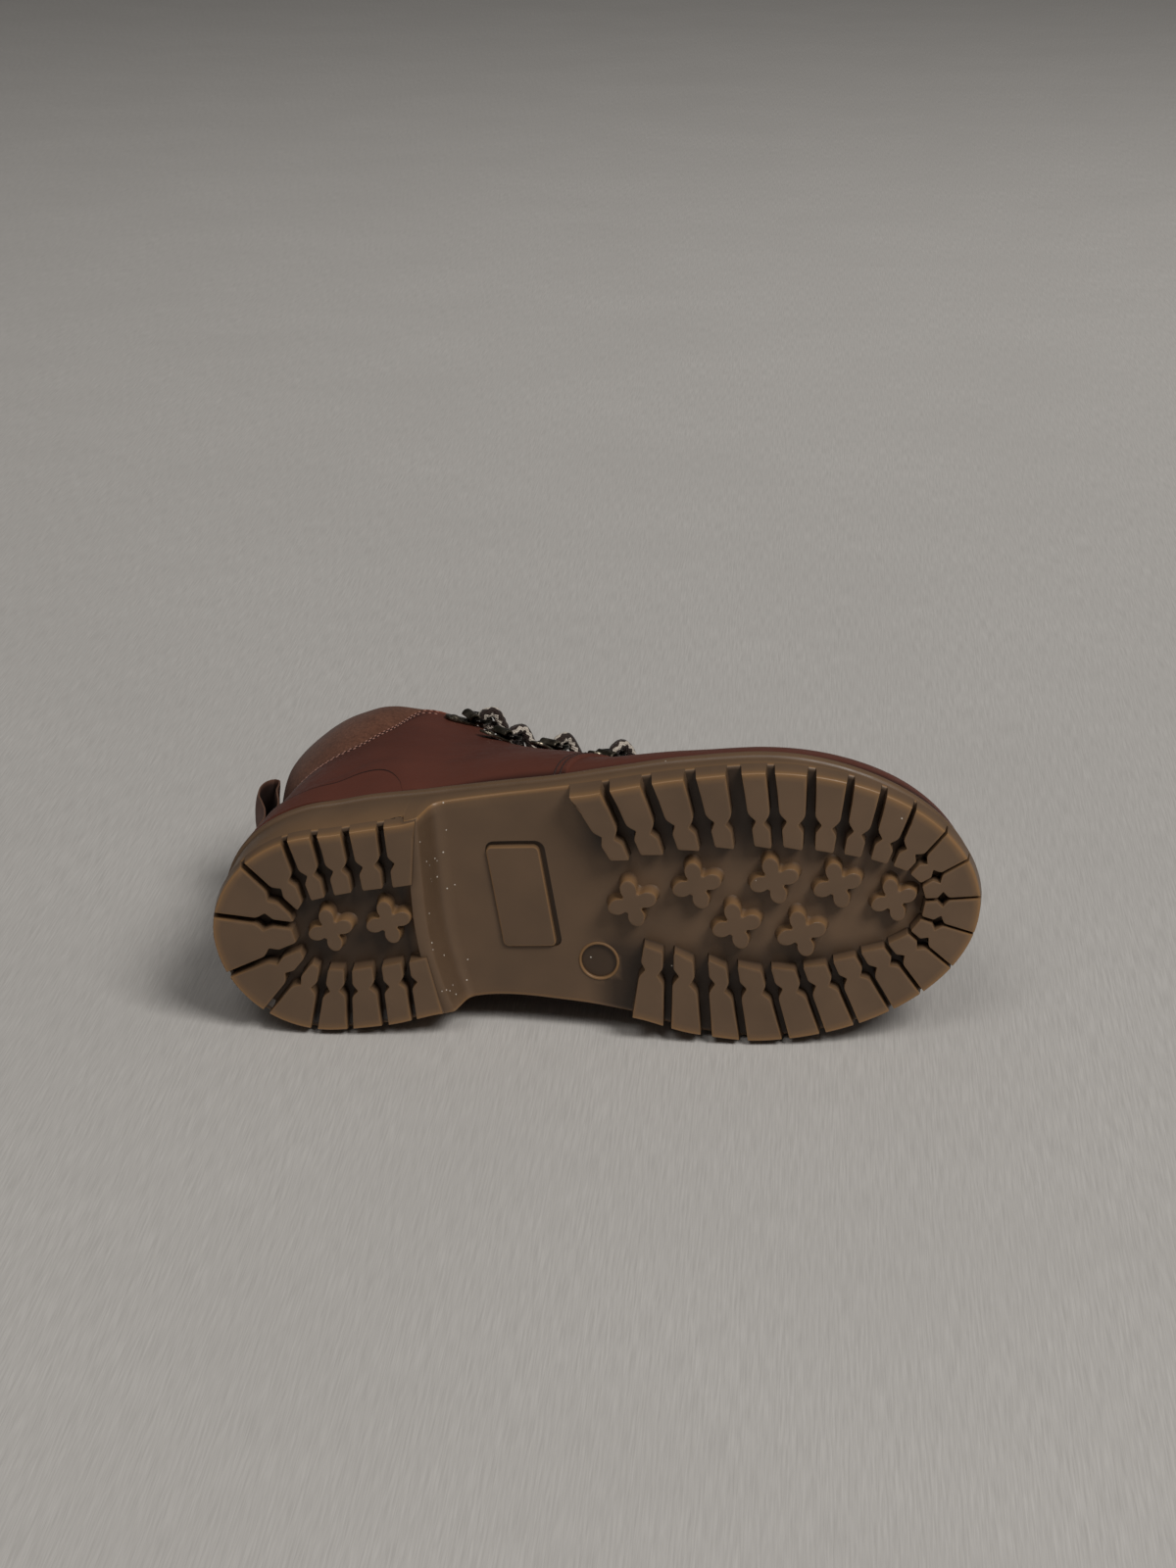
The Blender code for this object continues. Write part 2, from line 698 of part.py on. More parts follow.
def make_heel_counter():
    heights = np.linspace(0, 1, COUNTER_ROWS + 1)
    feet = [(x, OUTER) for x in COUNTER_FEET] + [(x, INNER) for x in COUNTER_FEET[-2::-1]]
    points = []
    for foot_x, side in feet:
        low, high = COUNTER_FOOT_SHARE, counter_share(foot_x)
        points.extend(upper_point(foot_x, side, low + (high - low) * height) for height in heights)
    faces = grid_faces(len(feet), len(heights), 0, True)
    under = QUARTER_STEP + PIECE_GAP
    add_piece("heel_counter", *thick_sheet(points, faces, under + COUNTER_THICKNESS, -under), "smooth_leather")


def collar_ring(foot_x, side):
    """Section of the padded collar over the seam."""
    base = upper_point(foot_x, side, 1)
    turned = [row._replace(foot_x=turn_at(row.foot_x)) for row in RIMS]
    x, y, z = (column(turned, "foot_x", name, turn_at(foot_x)) for name in ("x", "y", "z"))
    rim = np.array([x, side * y, z])
    out = np.array([*outline_normal(turn_at(foot_x), side), 0])
    along = upper_point(foot_x - EDGE_STEP, side, 1) - upper_point(foot_x + EDGE_STEP, side, 1)
    over = unit(np.cross(along, out))
    base = base + out * QUARTER_STEP + over * math.copysign(COLLAR_GAP, over[2])
    puff = COLLAR_PUFF * min((rim[2] - base[2]) / COLLAR_FULL_HEIGHT, 1)
    return [base + (rim - base) * row.height + out * (puff * row.puff - COLLAR_PAD * row.pad)
            for row in COLLAR_PROFILE]


def make_collar():
    feet = [(x, OUTER) for x in COLLAR_FEET] + [(x, INNER) for x in COLLAR_FEET[-2::-1]]
    add_piece("collar", *loft([collar_ring(foot_x, side) for foot_x, side in feet]), "nubuck")


def throat_patch(foot_x, side, edge, into, along):
    """Points of the leather beside the throat, about as wide as a lace clip, from the edge of the throat."""
    patch = []
    for aside in np.arange(-PATCH_FEET, PATCH_FEET + 1):
        for down in np.linspace(0, PATCH_SHARE, PATCH_ROWS):
            offset = upper_point(foot_x + aside, side, 1 - down) - edge
            if abs(np.dot(offset, along)) < PATCH_WIDTH / 2 and -np.dot(offset, into) < PATCH_LENGTH:
                patch.append(offset)
    return np.array(patch)


def throat_frame(foot_x, side):
    """Edge of the throat, the leather's outward normal, the way into the throat and the leather's rise."""
    edge = upper_point(foot_x, side, 1)
    along = unit(upper_point(foot_x - EDGE_STEP, side, 1) - upper_point(foot_x + EDGE_STEP, side, 1))
    lean = math.radians(column(THROAT_LEANS, "z", "degrees", edge[2]))
    guess = np.array([0, side * math.cos(lean), math.sin(lean)])
    guess = unit(guess - along * np.dot(guess, along))
    into = np.cross(along, guess)
    into *= math.copysign(1, np.dot(into, (FORWARD_BIAS, -side, 0)))
    patch = throat_patch(foot_x, side, edge, into, along)
    _, _, ways = np.linalg.svd(patch - patch.mean(axis=0))
    normal = ways[2] * math.copysign(1, np.dot(ways[2], guess))
    return edge, normal, unit(into - normal * np.dot(into, normal)), (patch @ normal).max()


def tongue_section(foot_x):
    """Points across the tongue, under both edges of the throat and over the gap between them."""
    ends = {}
    for side in (OUTER, INNER):
        edge, normal, into, _ = throat_frame(foot_x, side)
        under = edge - normal * (WALL + TONGUE_GAP)
        margin = under - into * TONGUE_MARGIN - normal * TONGUE_MARGIN_DROP
        ends[side] = (under, margin, normal)
    lift = unit(ends[OUTER][2] + ends[INNER][2])
    span = ends[INNER][0] - ends[OUTER][0]
    crown = TONGUE_CROWN * (np.linalg.norm(span) / 2) ** 2
    section = [ends[OUTER][1]]
    for share in np.linspace(0, 1, TONGUE_ACROSS + 1):
        section.append(ends[OUTER][0] + span * share + lift * crown * (1 - (2 * share - 1) ** 2))
    return section + [ends[INNER][1]]


def tongue_sections():
    """Sections of the tongue from its end under the vamp to its top above the throat."""
    sections = [np.array(tongue_section(foot_x)) for foot_x in TONGUE_FEET]
    tucked = [sections[0] * (1, tuck.spread, 1) + (tuck.forward, 0, -tuck.drop) for tuck in TONGUE_TUCKS]
    way = unit((sections[-1] - sections[-2]).mean(axis=0))
    return tucked + sections + [sections[-1] + way * step for step in TONGUE_TOP_STEPS]


def make_tongue():
    sections = tongue_sections()
    faces = grid_faces(len(sections), len(sections[0]), 0, True)
    points = [point for section in sections for point in section]
    add_piece("tongue", *thick_sheet(points, faces, 0.0, TONGUE_THICKNESS), "smooth_leather")


def make_insole():
    rings = []
    for turn in np.linspace(0, 1, INSOLE_STATIONS):
        outer, inner = (outline_point(turn, side, -INSOLE_INSET) for side in (OUTER, INNER))
        plan = [outer, (outer + inner) / 2, inner]
        low = [np.array([*point, top_height(point[0]) + PIECE_GAP]) for point in plan]
        rings.append(low + [point + (0, 0, INSOLE_THICKNESS) for point in reversed(low)])
    add_piece("insole", *loft(rings, caps=False), "lining")


def make_pull_loop():
    path = smooth_path([(point.x, 0, point.z) for point in LOOP_PATH], LOOP_SAMPLES)
    rings = []
    for i, point in enumerate(path):
        along = unit(path[min(i + 1, len(path) - 1)] - path[max(i - 1, 0)])
        out = np.array([-along[2], 0, along[0]])
        ring = []
        for reach, shares in ((0.0, (-1, 0, 1)), (LOOP_THICKNESS, (1, 0, -1))):
            for share in shares:
                wrap = LOOP_WRAP * share ** 2
                ring.append(point + out * (reach - wrap) + np.array([0, share * LOOP_WIDTH / 2, 0]))
        rings.append(ring)
    add_piece("pull_loop", *loft(rings), "strap_leather")


def clip_frame(foot_x, side):
    """Seat of a lace clip, with the ways out of the leather, into the throat and along its edge."""
    edge, normal, into, rise = throat_frame(foot_x, side)
    seat = edge - into * CLIP_SETBACK + normal * (rise + QUARTER_STEP + CLIP_GAP)
    return seat, normal, into, np.cross(normal, into)


def curl_centre(seat, normal):
    return seat + normal * (RING_WIRE + RING_CLEARANCE + CLIP_SHEET)


def make_clip(name, foot_x, side):
    """Flat plate whose end curls over the ring."""
    seat, normal, into, along = clip_frame(foot_x, side)
    outer_radius = RING_WIRE + RING_CLEARANCE + CLIP_SHEET
    angles = np.linspace(CURL_FROM, CURL_TO, CURL_POINTS)
    profile = [(-CLIP_LENGTH, 0.0)]
    profile += [(outer_radius * math.cos(a), outer_radius * (1 + math.sin(a))) for a in angles]
    inner_radius = outer_radius - CLIP_SHEET
    profile += [(inner_radius * math.cos(a), outer_radius + inner_radius * math.sin(a)) for a in angles[::-1]]
    profile.append((-CLIP_LENGTH, CLIP_SHEET))
    rings = []
    for offset in (-CLIP_WIDTH / 2, CLIP_WIDTH / 2):
        rings.append([seat + into * e + normal * n + along * offset for e, n in profile])
    add_piece(name, *loft(rings), "gunmetal")


def ring_path(foot_x, side):
    """Middle of the ring's wire: a straight bar in the curl and a round bow over the throat."""
    seat, normal, into, along = clip_frame(foot_x, side)
    centre = curl_centre(seat, normal)
    reach_way = into * math.cos(RING_TILT) + normal * math.sin(RING_TILT)
    bow_centre = RING_REACH - RING_HALF_WIDTH
    angles = np.linspace(-math.pi / 2, math.pi / 2, RING_POINTS - 4)
    plan = [(RING_HALF_WIDTH * math.sin(a), bow_centre + RING_HALF_WIDTH * math.cos(a)) for a in angles]
    bar = RING_HALF_WIDTH - RING_WIRE
    plan += [(RING_HALF_WIDTH, RING_WIRE), (bar, 0.0), (-bar, 0.0), (-RING_HALF_WIDTH, RING_WIRE)]
    return [centre + along * a + reach_way * d for a, d in plan], np.cross(along, reach_way)


def make_ring(name, foot_x, side):
    path, axis = ring_path(foot_x, side)
    middle = np.mean(path, axis=0)
    rings = []
    for i, point in enumerate(path):
        along = unit(path[(i + 1) % len(path)] - path[i - 1])
        out = unit(np.cross(along, axis))
        if np.dot(out, point - middle) < 0:
            out = -out
        angles = [2 * math.pi * j / RING_SIDES for j in range(RING_SIDES)]
        rings.append([point + (out * math.cos(a) + axis * math.sin(a)) * RING_WIRE for a in angles])
    add_piece(name, *loft(rings + rings[:1], caps=False), "gunmetal")


def make_hardware():
    for row, foot_x in enumerate(LACE_ROW_FEET, 1):
        for side, word in ((OUTER, "outer"), (INNER, "inner")):
            make_clip(f"lace_clip_{word}_{row}", foot_x, side)
            make_ring(f"lace_ring_{word}_{row}", foot_x, side)


def lace_tube(path, phase):
    """Round tube along a path of points."""
    rings = []
    side_way = np.array([1.0, 0, 0.3])
    for i, point in enumerate(path):
        along = unit(path[min(i + 1, len(path) - 1)] - path[max(i - 1, 0)])
        across = unit(np.cross(along, side_way))
        up = np.cross(along, across)
        angles = [phase + 2 * math.pi * j / LACE_SIDES for j in range(LACE_SIDES)]
        rings.append([point + (across * math.cos(a) + up * math.sin(a)) * LACE_RADIUS for a in angles])
    return loft(rings)


def lace_end(foot_x, side, shift):
    """First two points of a strand that leaves a ring's bow straight, just clear of it."""
    seat, normal, into, _ = clip_frame(foot_x, side)
    reach_way = into * math.cos(RING_TILT) + normal * math.sin(RING_TILT)
    up_throat = unit(upper_point(foot_x - EDGE_STEP, side, 1) - upper_point(foot_x + EDGE_STEP, side, 1))
    start = curl_centre(seat, normal) + reach_way * (RING_REACH + RING_WIRE + LACE_GAP) + up_throat * shift
    return [start, start + reach_way * LACE_LEAD]


def tongue_crest(foot_x):
    """Point over the middle of the tongue, clear of it by a lace's radius."""
    section = tongue_section(foot_x)
    middle = section[len(section) // 2]
    ahead = tongue_section(foot_x - 1)[len(section) // 2] - middle
    normal = unit(np.array([ahead[2], 0, -ahead[0]]))
    return middle + normal * (LACE_RADIUS + LACE_GAP)


def strand(start, crest, end, phase):
    return lace_tube(smooth_path([*start, crest, *reversed(end)], LACE_SAMPLES), phase)


def make_lace():
    """Two strands that cross over the tongue between each two rows of rings, and a bar at the lowest pair."""
    for number, (high, low) in enumerate(zip(LACE_ROW_FEET, LACE_ROW_FEET[1:]), 1):
        crest = tongue_crest((high + low) / 2)
        strands = []
        for side, phase in ((OUTER, 0.0), (INNER, LACE_PHASE)):
            start, end = lace_end(high, side, -LACE_SHIFT), lace_end(low, -side, LACE_SHIFT)
            strands.append(strand(start, crest, end, phase))
        lace = add_piece(f"lace_cross_{number}", *strands[0], "lace")
        combine(lace, add_piece(f"lace_back_strand_{number}", *strands[1], "lace", True), "UNION")
    last = LACE_ROW_FEET[-1]
    start, end = (lace_end(last, side, -LACE_SHIFT) for side in (OUTER, INNER))
    add_piece("lace_bar", *strand(start, tongue_crest(last), end, 0.0), "lace")


def mass_and_moment(shape):
    """Volume of a closed mesh and its first moment."""
    volume, moment = 0.0, Vector()
    for face in shape.calc_loop_triangles():
        a, b, c = (loop.vert.co for loop in face)
        share = a.dot(b.cross(c)) / 6
        volume += share
        moment += (a + b + c) / 4 * share
    return volume, moment


def resting_normal(things):
    """Outward normal of the hull's face that the boot lies on, on its inner side under its middle of mass."""
    hull = bmesh.new()
    volume, moment = 0.0, Vector()
    for thing in things:
        shape = bmesh.new()
        shape.from_mesh(thing.data)
        part_volume, part_moment = mass_and_moment(shape)
        volume += part_volume
        moment += part_moment
        shape.free()
        for vert in thing.data.vertices:
            hull.verts.new(vert.co)
    middle = moment / volume
    bmesh.ops.convex_hull(hull, input=hull.verts)
    hull.normal_update()
    facing = [face for face in hull.faces if face.normal.y > 0]
    nearest = min(facing, key=lambda face: face.normal.dot(face.verts[0].co - middle) / face.normal.y)
    normal = nearest.normal.copy()
    hull.free()
    return normal


def lay_down():
    """Parents every piece to an empty that lays the boot on its side, in the middle of the floor."""
    shown = [thing for thing in pieces if not thing.hide_render]
    carriers = [thing for thing in pieces if thing.name in ("outsole", "tread_studs", "upper", "collar")]
    on_side = Matrix.Rotation(math.radians(-90), 4, "X")
    down = on_side.to_3x3() @ resting_normal(carriers)
    level = down.rotation_difference(Vector((0, 0, -1))).to_matrix().to_4x4()
    turn = level @ on_side
    corners = np.array([turn @ vert.co for thing in shown for vert in thing.data.vertices])
    low, high = corners.min(axis=0), corners.max(axis=0)
    base = bpy.data.objects.new("boot", None)
    bpy.context.scene.collection.objects.link(base)
    middle = (low + high) / 2
    base.matrix_world = Matrix.Translation((-middle[0], -middle[1], -low[2])) @ turn
    for thing in pieces:
        thing.parent = base


def main():
    clear_scene()
    make_outsole()
    make_insole()
    make_upper()
    make_heel_counter()
    make_collar()
    make_tongue()
    make_pull_loop()
    make_hardware()
    make_lace()
    lay_down()


main()
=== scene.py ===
"""Looks of a child's lace-up leather boot for the right foot, lying on its inner side.

Every shape is worked out upright, in millimetres, in the foot frame: x from the back of the heel to the
toe, y towards the inner side of the foot, z up from the tread. The two tread mounts of the record carry
it from there into the frame of the solids.
"""
import json
import math
from collections import namedtuple

import bmesh
import bpy
import numpy as np
from mathutils import Matrix, Vector


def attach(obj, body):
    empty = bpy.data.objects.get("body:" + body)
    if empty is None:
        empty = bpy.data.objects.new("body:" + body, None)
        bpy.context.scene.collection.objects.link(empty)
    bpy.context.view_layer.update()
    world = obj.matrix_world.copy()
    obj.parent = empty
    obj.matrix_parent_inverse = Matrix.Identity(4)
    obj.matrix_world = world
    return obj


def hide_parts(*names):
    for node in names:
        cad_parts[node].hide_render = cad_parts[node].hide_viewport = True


def table(fields, *rows):
    """Rows of measures with named fields."""
    kind = namedtuple("Row", fields)
    return tuple(kind(*row) for row in rows)


MM = 0.001
INNER = 1
OUTER = -1
SIDE_NAMES = {OUTER: "outer", INNER: "inner"}
TINY = 1e-9
WELD = 1e-6

# Foot places of the two tread mounts
HEEL_MOUNT = (6.8369, 2.186, 0.0)
FOREFOOT_MOUNT = (136.2873, -34.0806, 0.0)

# Sole outline at the tread: half-widths between a round heel and a round toe
SOLE_LENGTH = 222.0
HEEL_ROUND = 33.0
TOE_ROUND = 64.0
TOE_TIP_Y = 3.5
TOE_CURVE = {INNER: 2.1, OUTER: 1.92}
OUTLINE = table(
    "x inner outer",
    (HEEL_ROUND, 32.0, 29.6), (48, 31.2, 31.0), (64, 28.4, 32.4), (80, 26.6, 34.0), (100, 28.4, 36.0),
    (120, 32.0, 38.9), (138, 38.0, 41.0), (SOLE_LENGTH - TOE_ROUND, 41.0, 41.9))

# Sole heights above the tread, which itself rises from the ball of the foot to the toe
TOE_SPRING = 10.5
SPRING_START = 150.0
LEVELS = table(
    "x floor top",
    (0, 5.5, 26.0), (40, 5.5, 26.0), (66.5, 10.5, 24.6), (85, 9.8, 21.8), (105, 7.6, 18.2),
    (125, 5.6, 15.8), (SPRING_START, 5.0, 14.8), (SOLE_LENGTH, 4.6, 13.2))
HEEL_FLOOR = table(
    "x z",
    (0, 5.5), (57.2, 5.5), (57.9, 5.1), (58.2, 4.2), (58.5, 1.7), (58.75, 1.15), (59.2, 1.0),
    (61.8, 1.0), (62.3, 1.2), (62.8, 1.9), (65.2, 8.0), (66.2, 9.5), (67.4, 10.2), (69.0, 10.46))
BREAST_TOP = 62.0
BREAST_CURVE = 5.6
BREAST_REACH = 14.0
BREAST_SKEW = 0.1
BREAST_ROUNDS = 5
SOLE_STATIONS = 130
SOLE_STRIPS = 26
HEEL_CLEAR = 0.5

# Side wall of the sole, from its lower edge to the lip at its top
RIM_OUTSET = 0.8
FOOT_ROWS = table("inset above_floor", (1.3, 0.0), (0.5, 0.12), (0.12, 0.45), (0.0, 1.1))
# Last column of the lip rows: a painted highlight along the lip's top edge
LIP_ROWS = table(
    "outset below_top glow",
    (0.95, 4.2, 0.0), (1.0, 3.5, 0.0), (1.25, 3.1, 0.0), (1.7, 2.85, 0.1), (1.95, 2.3, 0.1),
    (1.95, 1.2, 0.1), (1.85, 0.55, 0.2), (1.7, 0.25, 0.9), (1.35, 0.05, 0.6), (0.6, 0.0, 0.0))
WALL_LEANS = table(
    "x inset height",
    (0, 1.8, 22.0), (56, 1.8, 21.0), (72, 0.2, 19.0), (100, 0.2, 13.0), (114, 1.3, 12.0),
    (SOLE_LENGTH, 1.3, 20.0))
WALL_FULL = 1.1
SLOT_RISE = 2.15
SLOT_RISE_END = (58, 54)
LIP_TUCKS = table(
    "x outer inner",
    (0, 1.2, 0.6), (20, 1.7, 0.4), (45, 0.9, 0.4), (64, 1.2, 0.4), (100, 0.7, 0.4), (165, 0.9, 0.4),
    (212, 2.2, 2.2))

# Painted shade and painted golden edge light of the rubber, with the spans over which they come or go
SLOT_SHADE = 0.9
SLOT_BAND = (0.36, 0.24)
FOREFOOT_SLOTTED = (106, 116)
HEEL_SLOTTED = (62, 56)
RECESS_SHADE = 0.75
RECESS_END = (58, 56)
BREAST_SHADE = 0.35
BREAST_FROM = (62.2, 63.2)
BREAST_TO = (68, 66)
# Painted golden light along the foot of the side wall; at the slots its lowest rows turn to painted
# shade
FOOT_PAINTED_LIGHT = (0.1, 0.7, 1.0, 0.4)
SLOT_PAINTED_LIGHT = (-0.9, -0.4, 0.9, 0.4)
# Painted shade on the sunk floors of the pocket and the medallion
SUNK_SHADE = -0.7
SUNK_X = (77.7, 118.1)
SUNK_Y = 23
SUNK_LIFT = (0.3, 2)
# Round the heel breast, where painted sparkle highlights gather
PAINTED_SPARKLE_X = 65.0
PAINTED_SPARKLE_REACH = 7.0

# Rings of hourglass lugs: the slots between them, by their pitch along the outline and their inner ends
RING_SAMPLES = 160
RIM_SAMPLES = 7
HEEL_SLOTS = table(
    "pitch inner_x inner_y gap",
    (0.0, 59.3, -12.0, 0.0), (10.4, 52.4, -11.4, 2.3), (10.4, 43.4, -10.7, 2.6), (9.2, 35.2, -9.6, 2.3),
    (9.2, 28.4, -8.2, 2.2), (15.2, 24.3, -4.9, 2.1), (18.8, 23.4, -1.0, 1.9), (19.3, 24.4, 5.4, 2.0),
    (15.7, 26.8, 10.0, 2.1), (15.0, 31.2, 12.6, 2.1), (10.7, 38.2, 13.4, 1.9), (10.5, 46.8, 12.8, 2.2),
    (8.8, 55.2, 11.8, 1.8), (8.7, 61.5, 10.8, 0.0))
FOREFOOT_SLOTS = table(
    "pitch inner_x inner_y gap",
    (0.0, 117.4, -16.5, 0.0), (10.2, 124.5, -17.2, 2.9), (11.9, 134.8, -18.3, 3.5),
    (12.6, 145.3, -18.8, 3.6), (12.5, 155.8, -18.7, 4.6), (10.5, 165.2, -18.0, 2.7),
    (11.8, 174.0, -16.6, 2.8), (11.5, 182.4, -14.8, 2.4), (10.1, 190.0, -12.6, 2.3),
    (10.2, 196.8, -9.8, 1.5), (12.2, 202.0, -6.8, 1.0), (11.1, 205.4, -2.7, 0.9),
    (12.4, 206.3, 2.2, 0.9), (11.2, 204.9, 7.4, 0.9), (11.5, 201.3, 11.4, 1.0),
    (11.1, 194.4, 14.6, 1.3), (9.9, 186.3, 16.4, 1.6), (10.8, 178.0, 18.2, 1.8),
    (10.0, 169.2, 19.2, 2.0), (10.8, 159.8, 18.9, 2.3), (12.2, 150.0, 17.6, 2.6),
    (10.8, 141.1, 15.3, 3.4), (11.6, 132.0, 12.3, 2.5), (10.5, 125.0, 10.0, 0.0))
LUG_RINGS = table(
    "slots outer_x inner_x turn_end middle_x neck notch end_notch",
    (HEEL_SLOTS, 62.0, 64.6, 1, 42.0, 0.63, 1.7, 0.0),
    (FOREFOOT_SLOTS, 107.0, 120.2, 0, 165.0, 0.67, 1.8, 0.8))
LUG_OUTER = table(
    "share notch widen",
    (0.46, 0.0, 1.0), (0.78, 0.0, 1.0), (0.84, 0.06, 1.0), (0.90, 0.32, 1.0), (1.0, 1.0, 1.0))
LUG_INNER = table(
    "share notch widen",
    (0.06, 0.9, 1.1), (0.28, 0.12, 1.25), (0.36, 0.0, 1.25), (0.92, 0.0, 1.25), (1.0, 0.15, 1.25))
# Last column: painted golden light at the tread face's edges, painted shade down the walls to the root
LUG_LEVELS = table(
    "grow rim depth lift glow",
    (-0.80, -2.4, 0.0, 0.0, 0.0), (-0.25, -1.0, 0.0, 0.0, 0.35), (-0.06, -0.2, 0.0, 0.08, 1.0),
    (0.0, 0.0, 0.0, 0.3, 0.9), (0.06, 0.0, 0.4, 0.0, 0.2), (0.12, 0.0, 0.8, 0.0, -0.3),
    (0.22, 0.0, 0.94, 0.0, -0.8), (0.4, 0.0, 1.0, 0.1, -0.8), (0.4, 0.0, 1.0, 1.05, 0.0),
    (0.4, 0.0, 1.0, 2.4, 0.0), (0.2, 0.0, 1.0, 2.8, 0.0))
RIM_LOW = 0.2
RIM_OVER = 0.03
RIM_DIVE = 1.3
RIM_STEP = 0.2
LUG_TIP = 0.97
SIDE_PAINTED_LIGHT = 0.3

# Clover studs inside the rings
CLOVERS = table(
    "x y size",
    (34.3, 1.0, 6.7), (51.5, -0.7, 6.7), (122.6, -3.1, 7.2), (141.5, -7.7, 7.2), (163.7, -8.0, 7.2),
    (181.6, -5.1, 7.1), (197.4, 1.1, 6.7), (152.1, 5.2, 7.2), (170.6, 8.8, 7.2))
CLOVER_WAIST = 0.46
CLOVER_TURN = math.radians(-12)
CLOVER_POINTS = 80
CLOVER_BLEND = 12
PETAL_PLACE = 0.60
PETAL_LENGTH = 0.40
PETAL_WIDTH = 0.33
CLOVER_DROP = 0.4
# Last column: painted golden light on the face's edge and upper walls, painted shade at the root
CLOVER_LEVELS = table(
    "grow depth lift glow",
    (-0.95, 0.0, 0.0, 0.0), (-0.32, 0.0, 0.0, 0.15), (-0.1, 0.0, 0.1, 0.5), (0.0, 0.0, 0.36, 0.7),
    (0.2, 0.45, 0.0, 0.5), (0.4, 0.82, 0.0, 0.25), (0.6, 0.94, 0.0, 0.0), (1.0, 1.0, 0.12, -0.3),
    (1.0, 1.0, 1.2, 0.0))

# Raised panel in its pocket, and sunk medallion with its rim, in the waist
PANEL_X = 89.7
PANEL_Y = -3.7
PANEL_HALF_X = 7.8
PANEL_HALF_Y = 15.5
PANEL_LEAN = 0.097
PANEL_ROUND = 1.7
# Last column: painted golden light round the panel's edge
PANEL_LEVELS = table(
    "grow depth lift glow",
    (-0.5, 0.0, -0.95, 0.0), (-0.3, 0.0, -0.93, 0.5), (-0.08, 0.0, -0.82, 0.7), (0.0, 0.0, -0.6, 0.5),
    (0.15, 0.0, 1.0, 0.0), (0.15, 0.0, 1.8, 0.0))
POCKET_GROW = 0.95
POCKET_SHIFT = (0.75, -0.55)
POCKET_DEPTH = 1.1
CUTTER_REACH = 3.0
MEDALLION_X = 111.1
MEDALLION_Y = 16.7
MEDALLION_RADIUS = 5.3
MEDALLION_DEPTH = 0.8
MEDALLION_POINTS = 56
# Painted highlight on the medallion's raised rim
MEDALLION_PAINTED_HIGHLIGHT = 0.8
MEDALLION_RIM = table(
    "outset lift",
    (-0.12, 1.2), (-0.12, -0.1), (0.05, -0.3), (0.35, -0.36), (0.6, -0.22), (0.8, 0.2), (0.8, 1.2))

# Upper: one section for each place round the feather edge, from the toe to the heel
FEATHER_INSET = 1.6
WALL = 1.8
QUARTER_STEP = 1.0
PIECE_GAP = 0.3
EDGE_STEP = 0.5
SEAM_FOOT_X = 104
SEAM_WIDTH = 0.5
SEAM_CLEAR = 1.0
UPPER_STATIONS = 150
UPPER_ROWS = 40
EDGE_ROWS = (0.978, 0.988, 0.995, 1.0)
EDGE_ROUND = (0.0, 0.05, 0.2, 0.55)
MIDLINE_START = 120.0
SECTIONS = table(
    "foot_x top_x top_y top_z fullness swell",
    (SOLE_LENGTH, 186, 0, 55.0, 2.5, 0.0), (206, 186, 0, 55.0, 2.5, 0.0), (188, 180, 0, 56.5, 2.4, 0.0),
    (168, 170, 0, 59.0, 2.3, 0.0), (148, 160, 0, 61.5, 2.2, 0.3), (118, 147, 0, 65.5, 2.1, 0.6),
    (SEAM_FOOT_X, 138, 11.0, 67.5, 2.0, 0.8), (95, 123, 16.0, 73.0, 1.95, 1.0),
    (87, 108.5, 17.8, 80.0, 1.85, 1.2), (80, 94, 19.0, 88.0, 1.7, 1.2),
    (75, 79.5, 20.6, 96.5, 1.5, 1.2), (71, 71.5, 22.0, 105.0, 1.35, 1.0),
    (67, 66.5, 22.8, 113.5, 1.25, 1.0), (60, 59.5, 26.3, 114.0, 1.15, 1.2),
    (52, 51, 28.5, 114.5, 1.1, 1.4), (43, 42, 28.3, 98.0, 1.1, 1.6), (33, 32, 26.2, 86.5, 1.1, 1.6),
    (18, 20, 20.4, 84.0, 1.1, 1.0), (6, 11.5, 12.1, 85.0, 1.1, -0.7), (0, 8.0, 0, 86.0, 1.1, -0.8))
OUTER_BULGES = table(
    "foot_x out",
    (0, 0.0), (62, 0.0), (80, 0.6), (95, 1.3), (106, 1.6), (120, 1.2), (150, 0.0), (SOLE_LENGTH, 0.0))
BULGE_POWER = 0.8

# Tones of the upper, with the spans over which they come or go up its wall and along it
THROAT_FADE = (SEAM_FOOT_X + 14, SEAM_FOOT_X + 8)
RAW_UP = (0.88, 0.93)
RAW_FROM = (34, 44)
RAW_TO = (SEAM_FOOT_X + 8, SEAM_FOOT_X + 2)
SEWN_UP = (0.77, 0.81)
SEWN_TOP = (0.925, 0.9)
SEWN_FRONT = (54, 50)
SEWN_DARK = 0.45
# Painted shade at the foot of the upper, in the crevice by the sole's lip
FOOT_UP = (0.1, 0.03)
FOOT_PAINTED_SHADE = 0.85
WARM_UP = (0.42, 0.08)

# Leather beside the throat: its slope by height, and the patch that a lace clip covers
FORWARD_BIAS = 0.3
PATCH_FEET = 9
PATCH_SHARE = 0.24
PATCH_ROWS = 13
PATCH_WIDTH = 12.0
PATCH_LENGTH = 11.7
PATCH_PERCENT = 60
THROAT_SLOPES = table("z degrees", (65.5, 90), (68.5, 64), (81, 50), (97, 26), (113.5, 8))

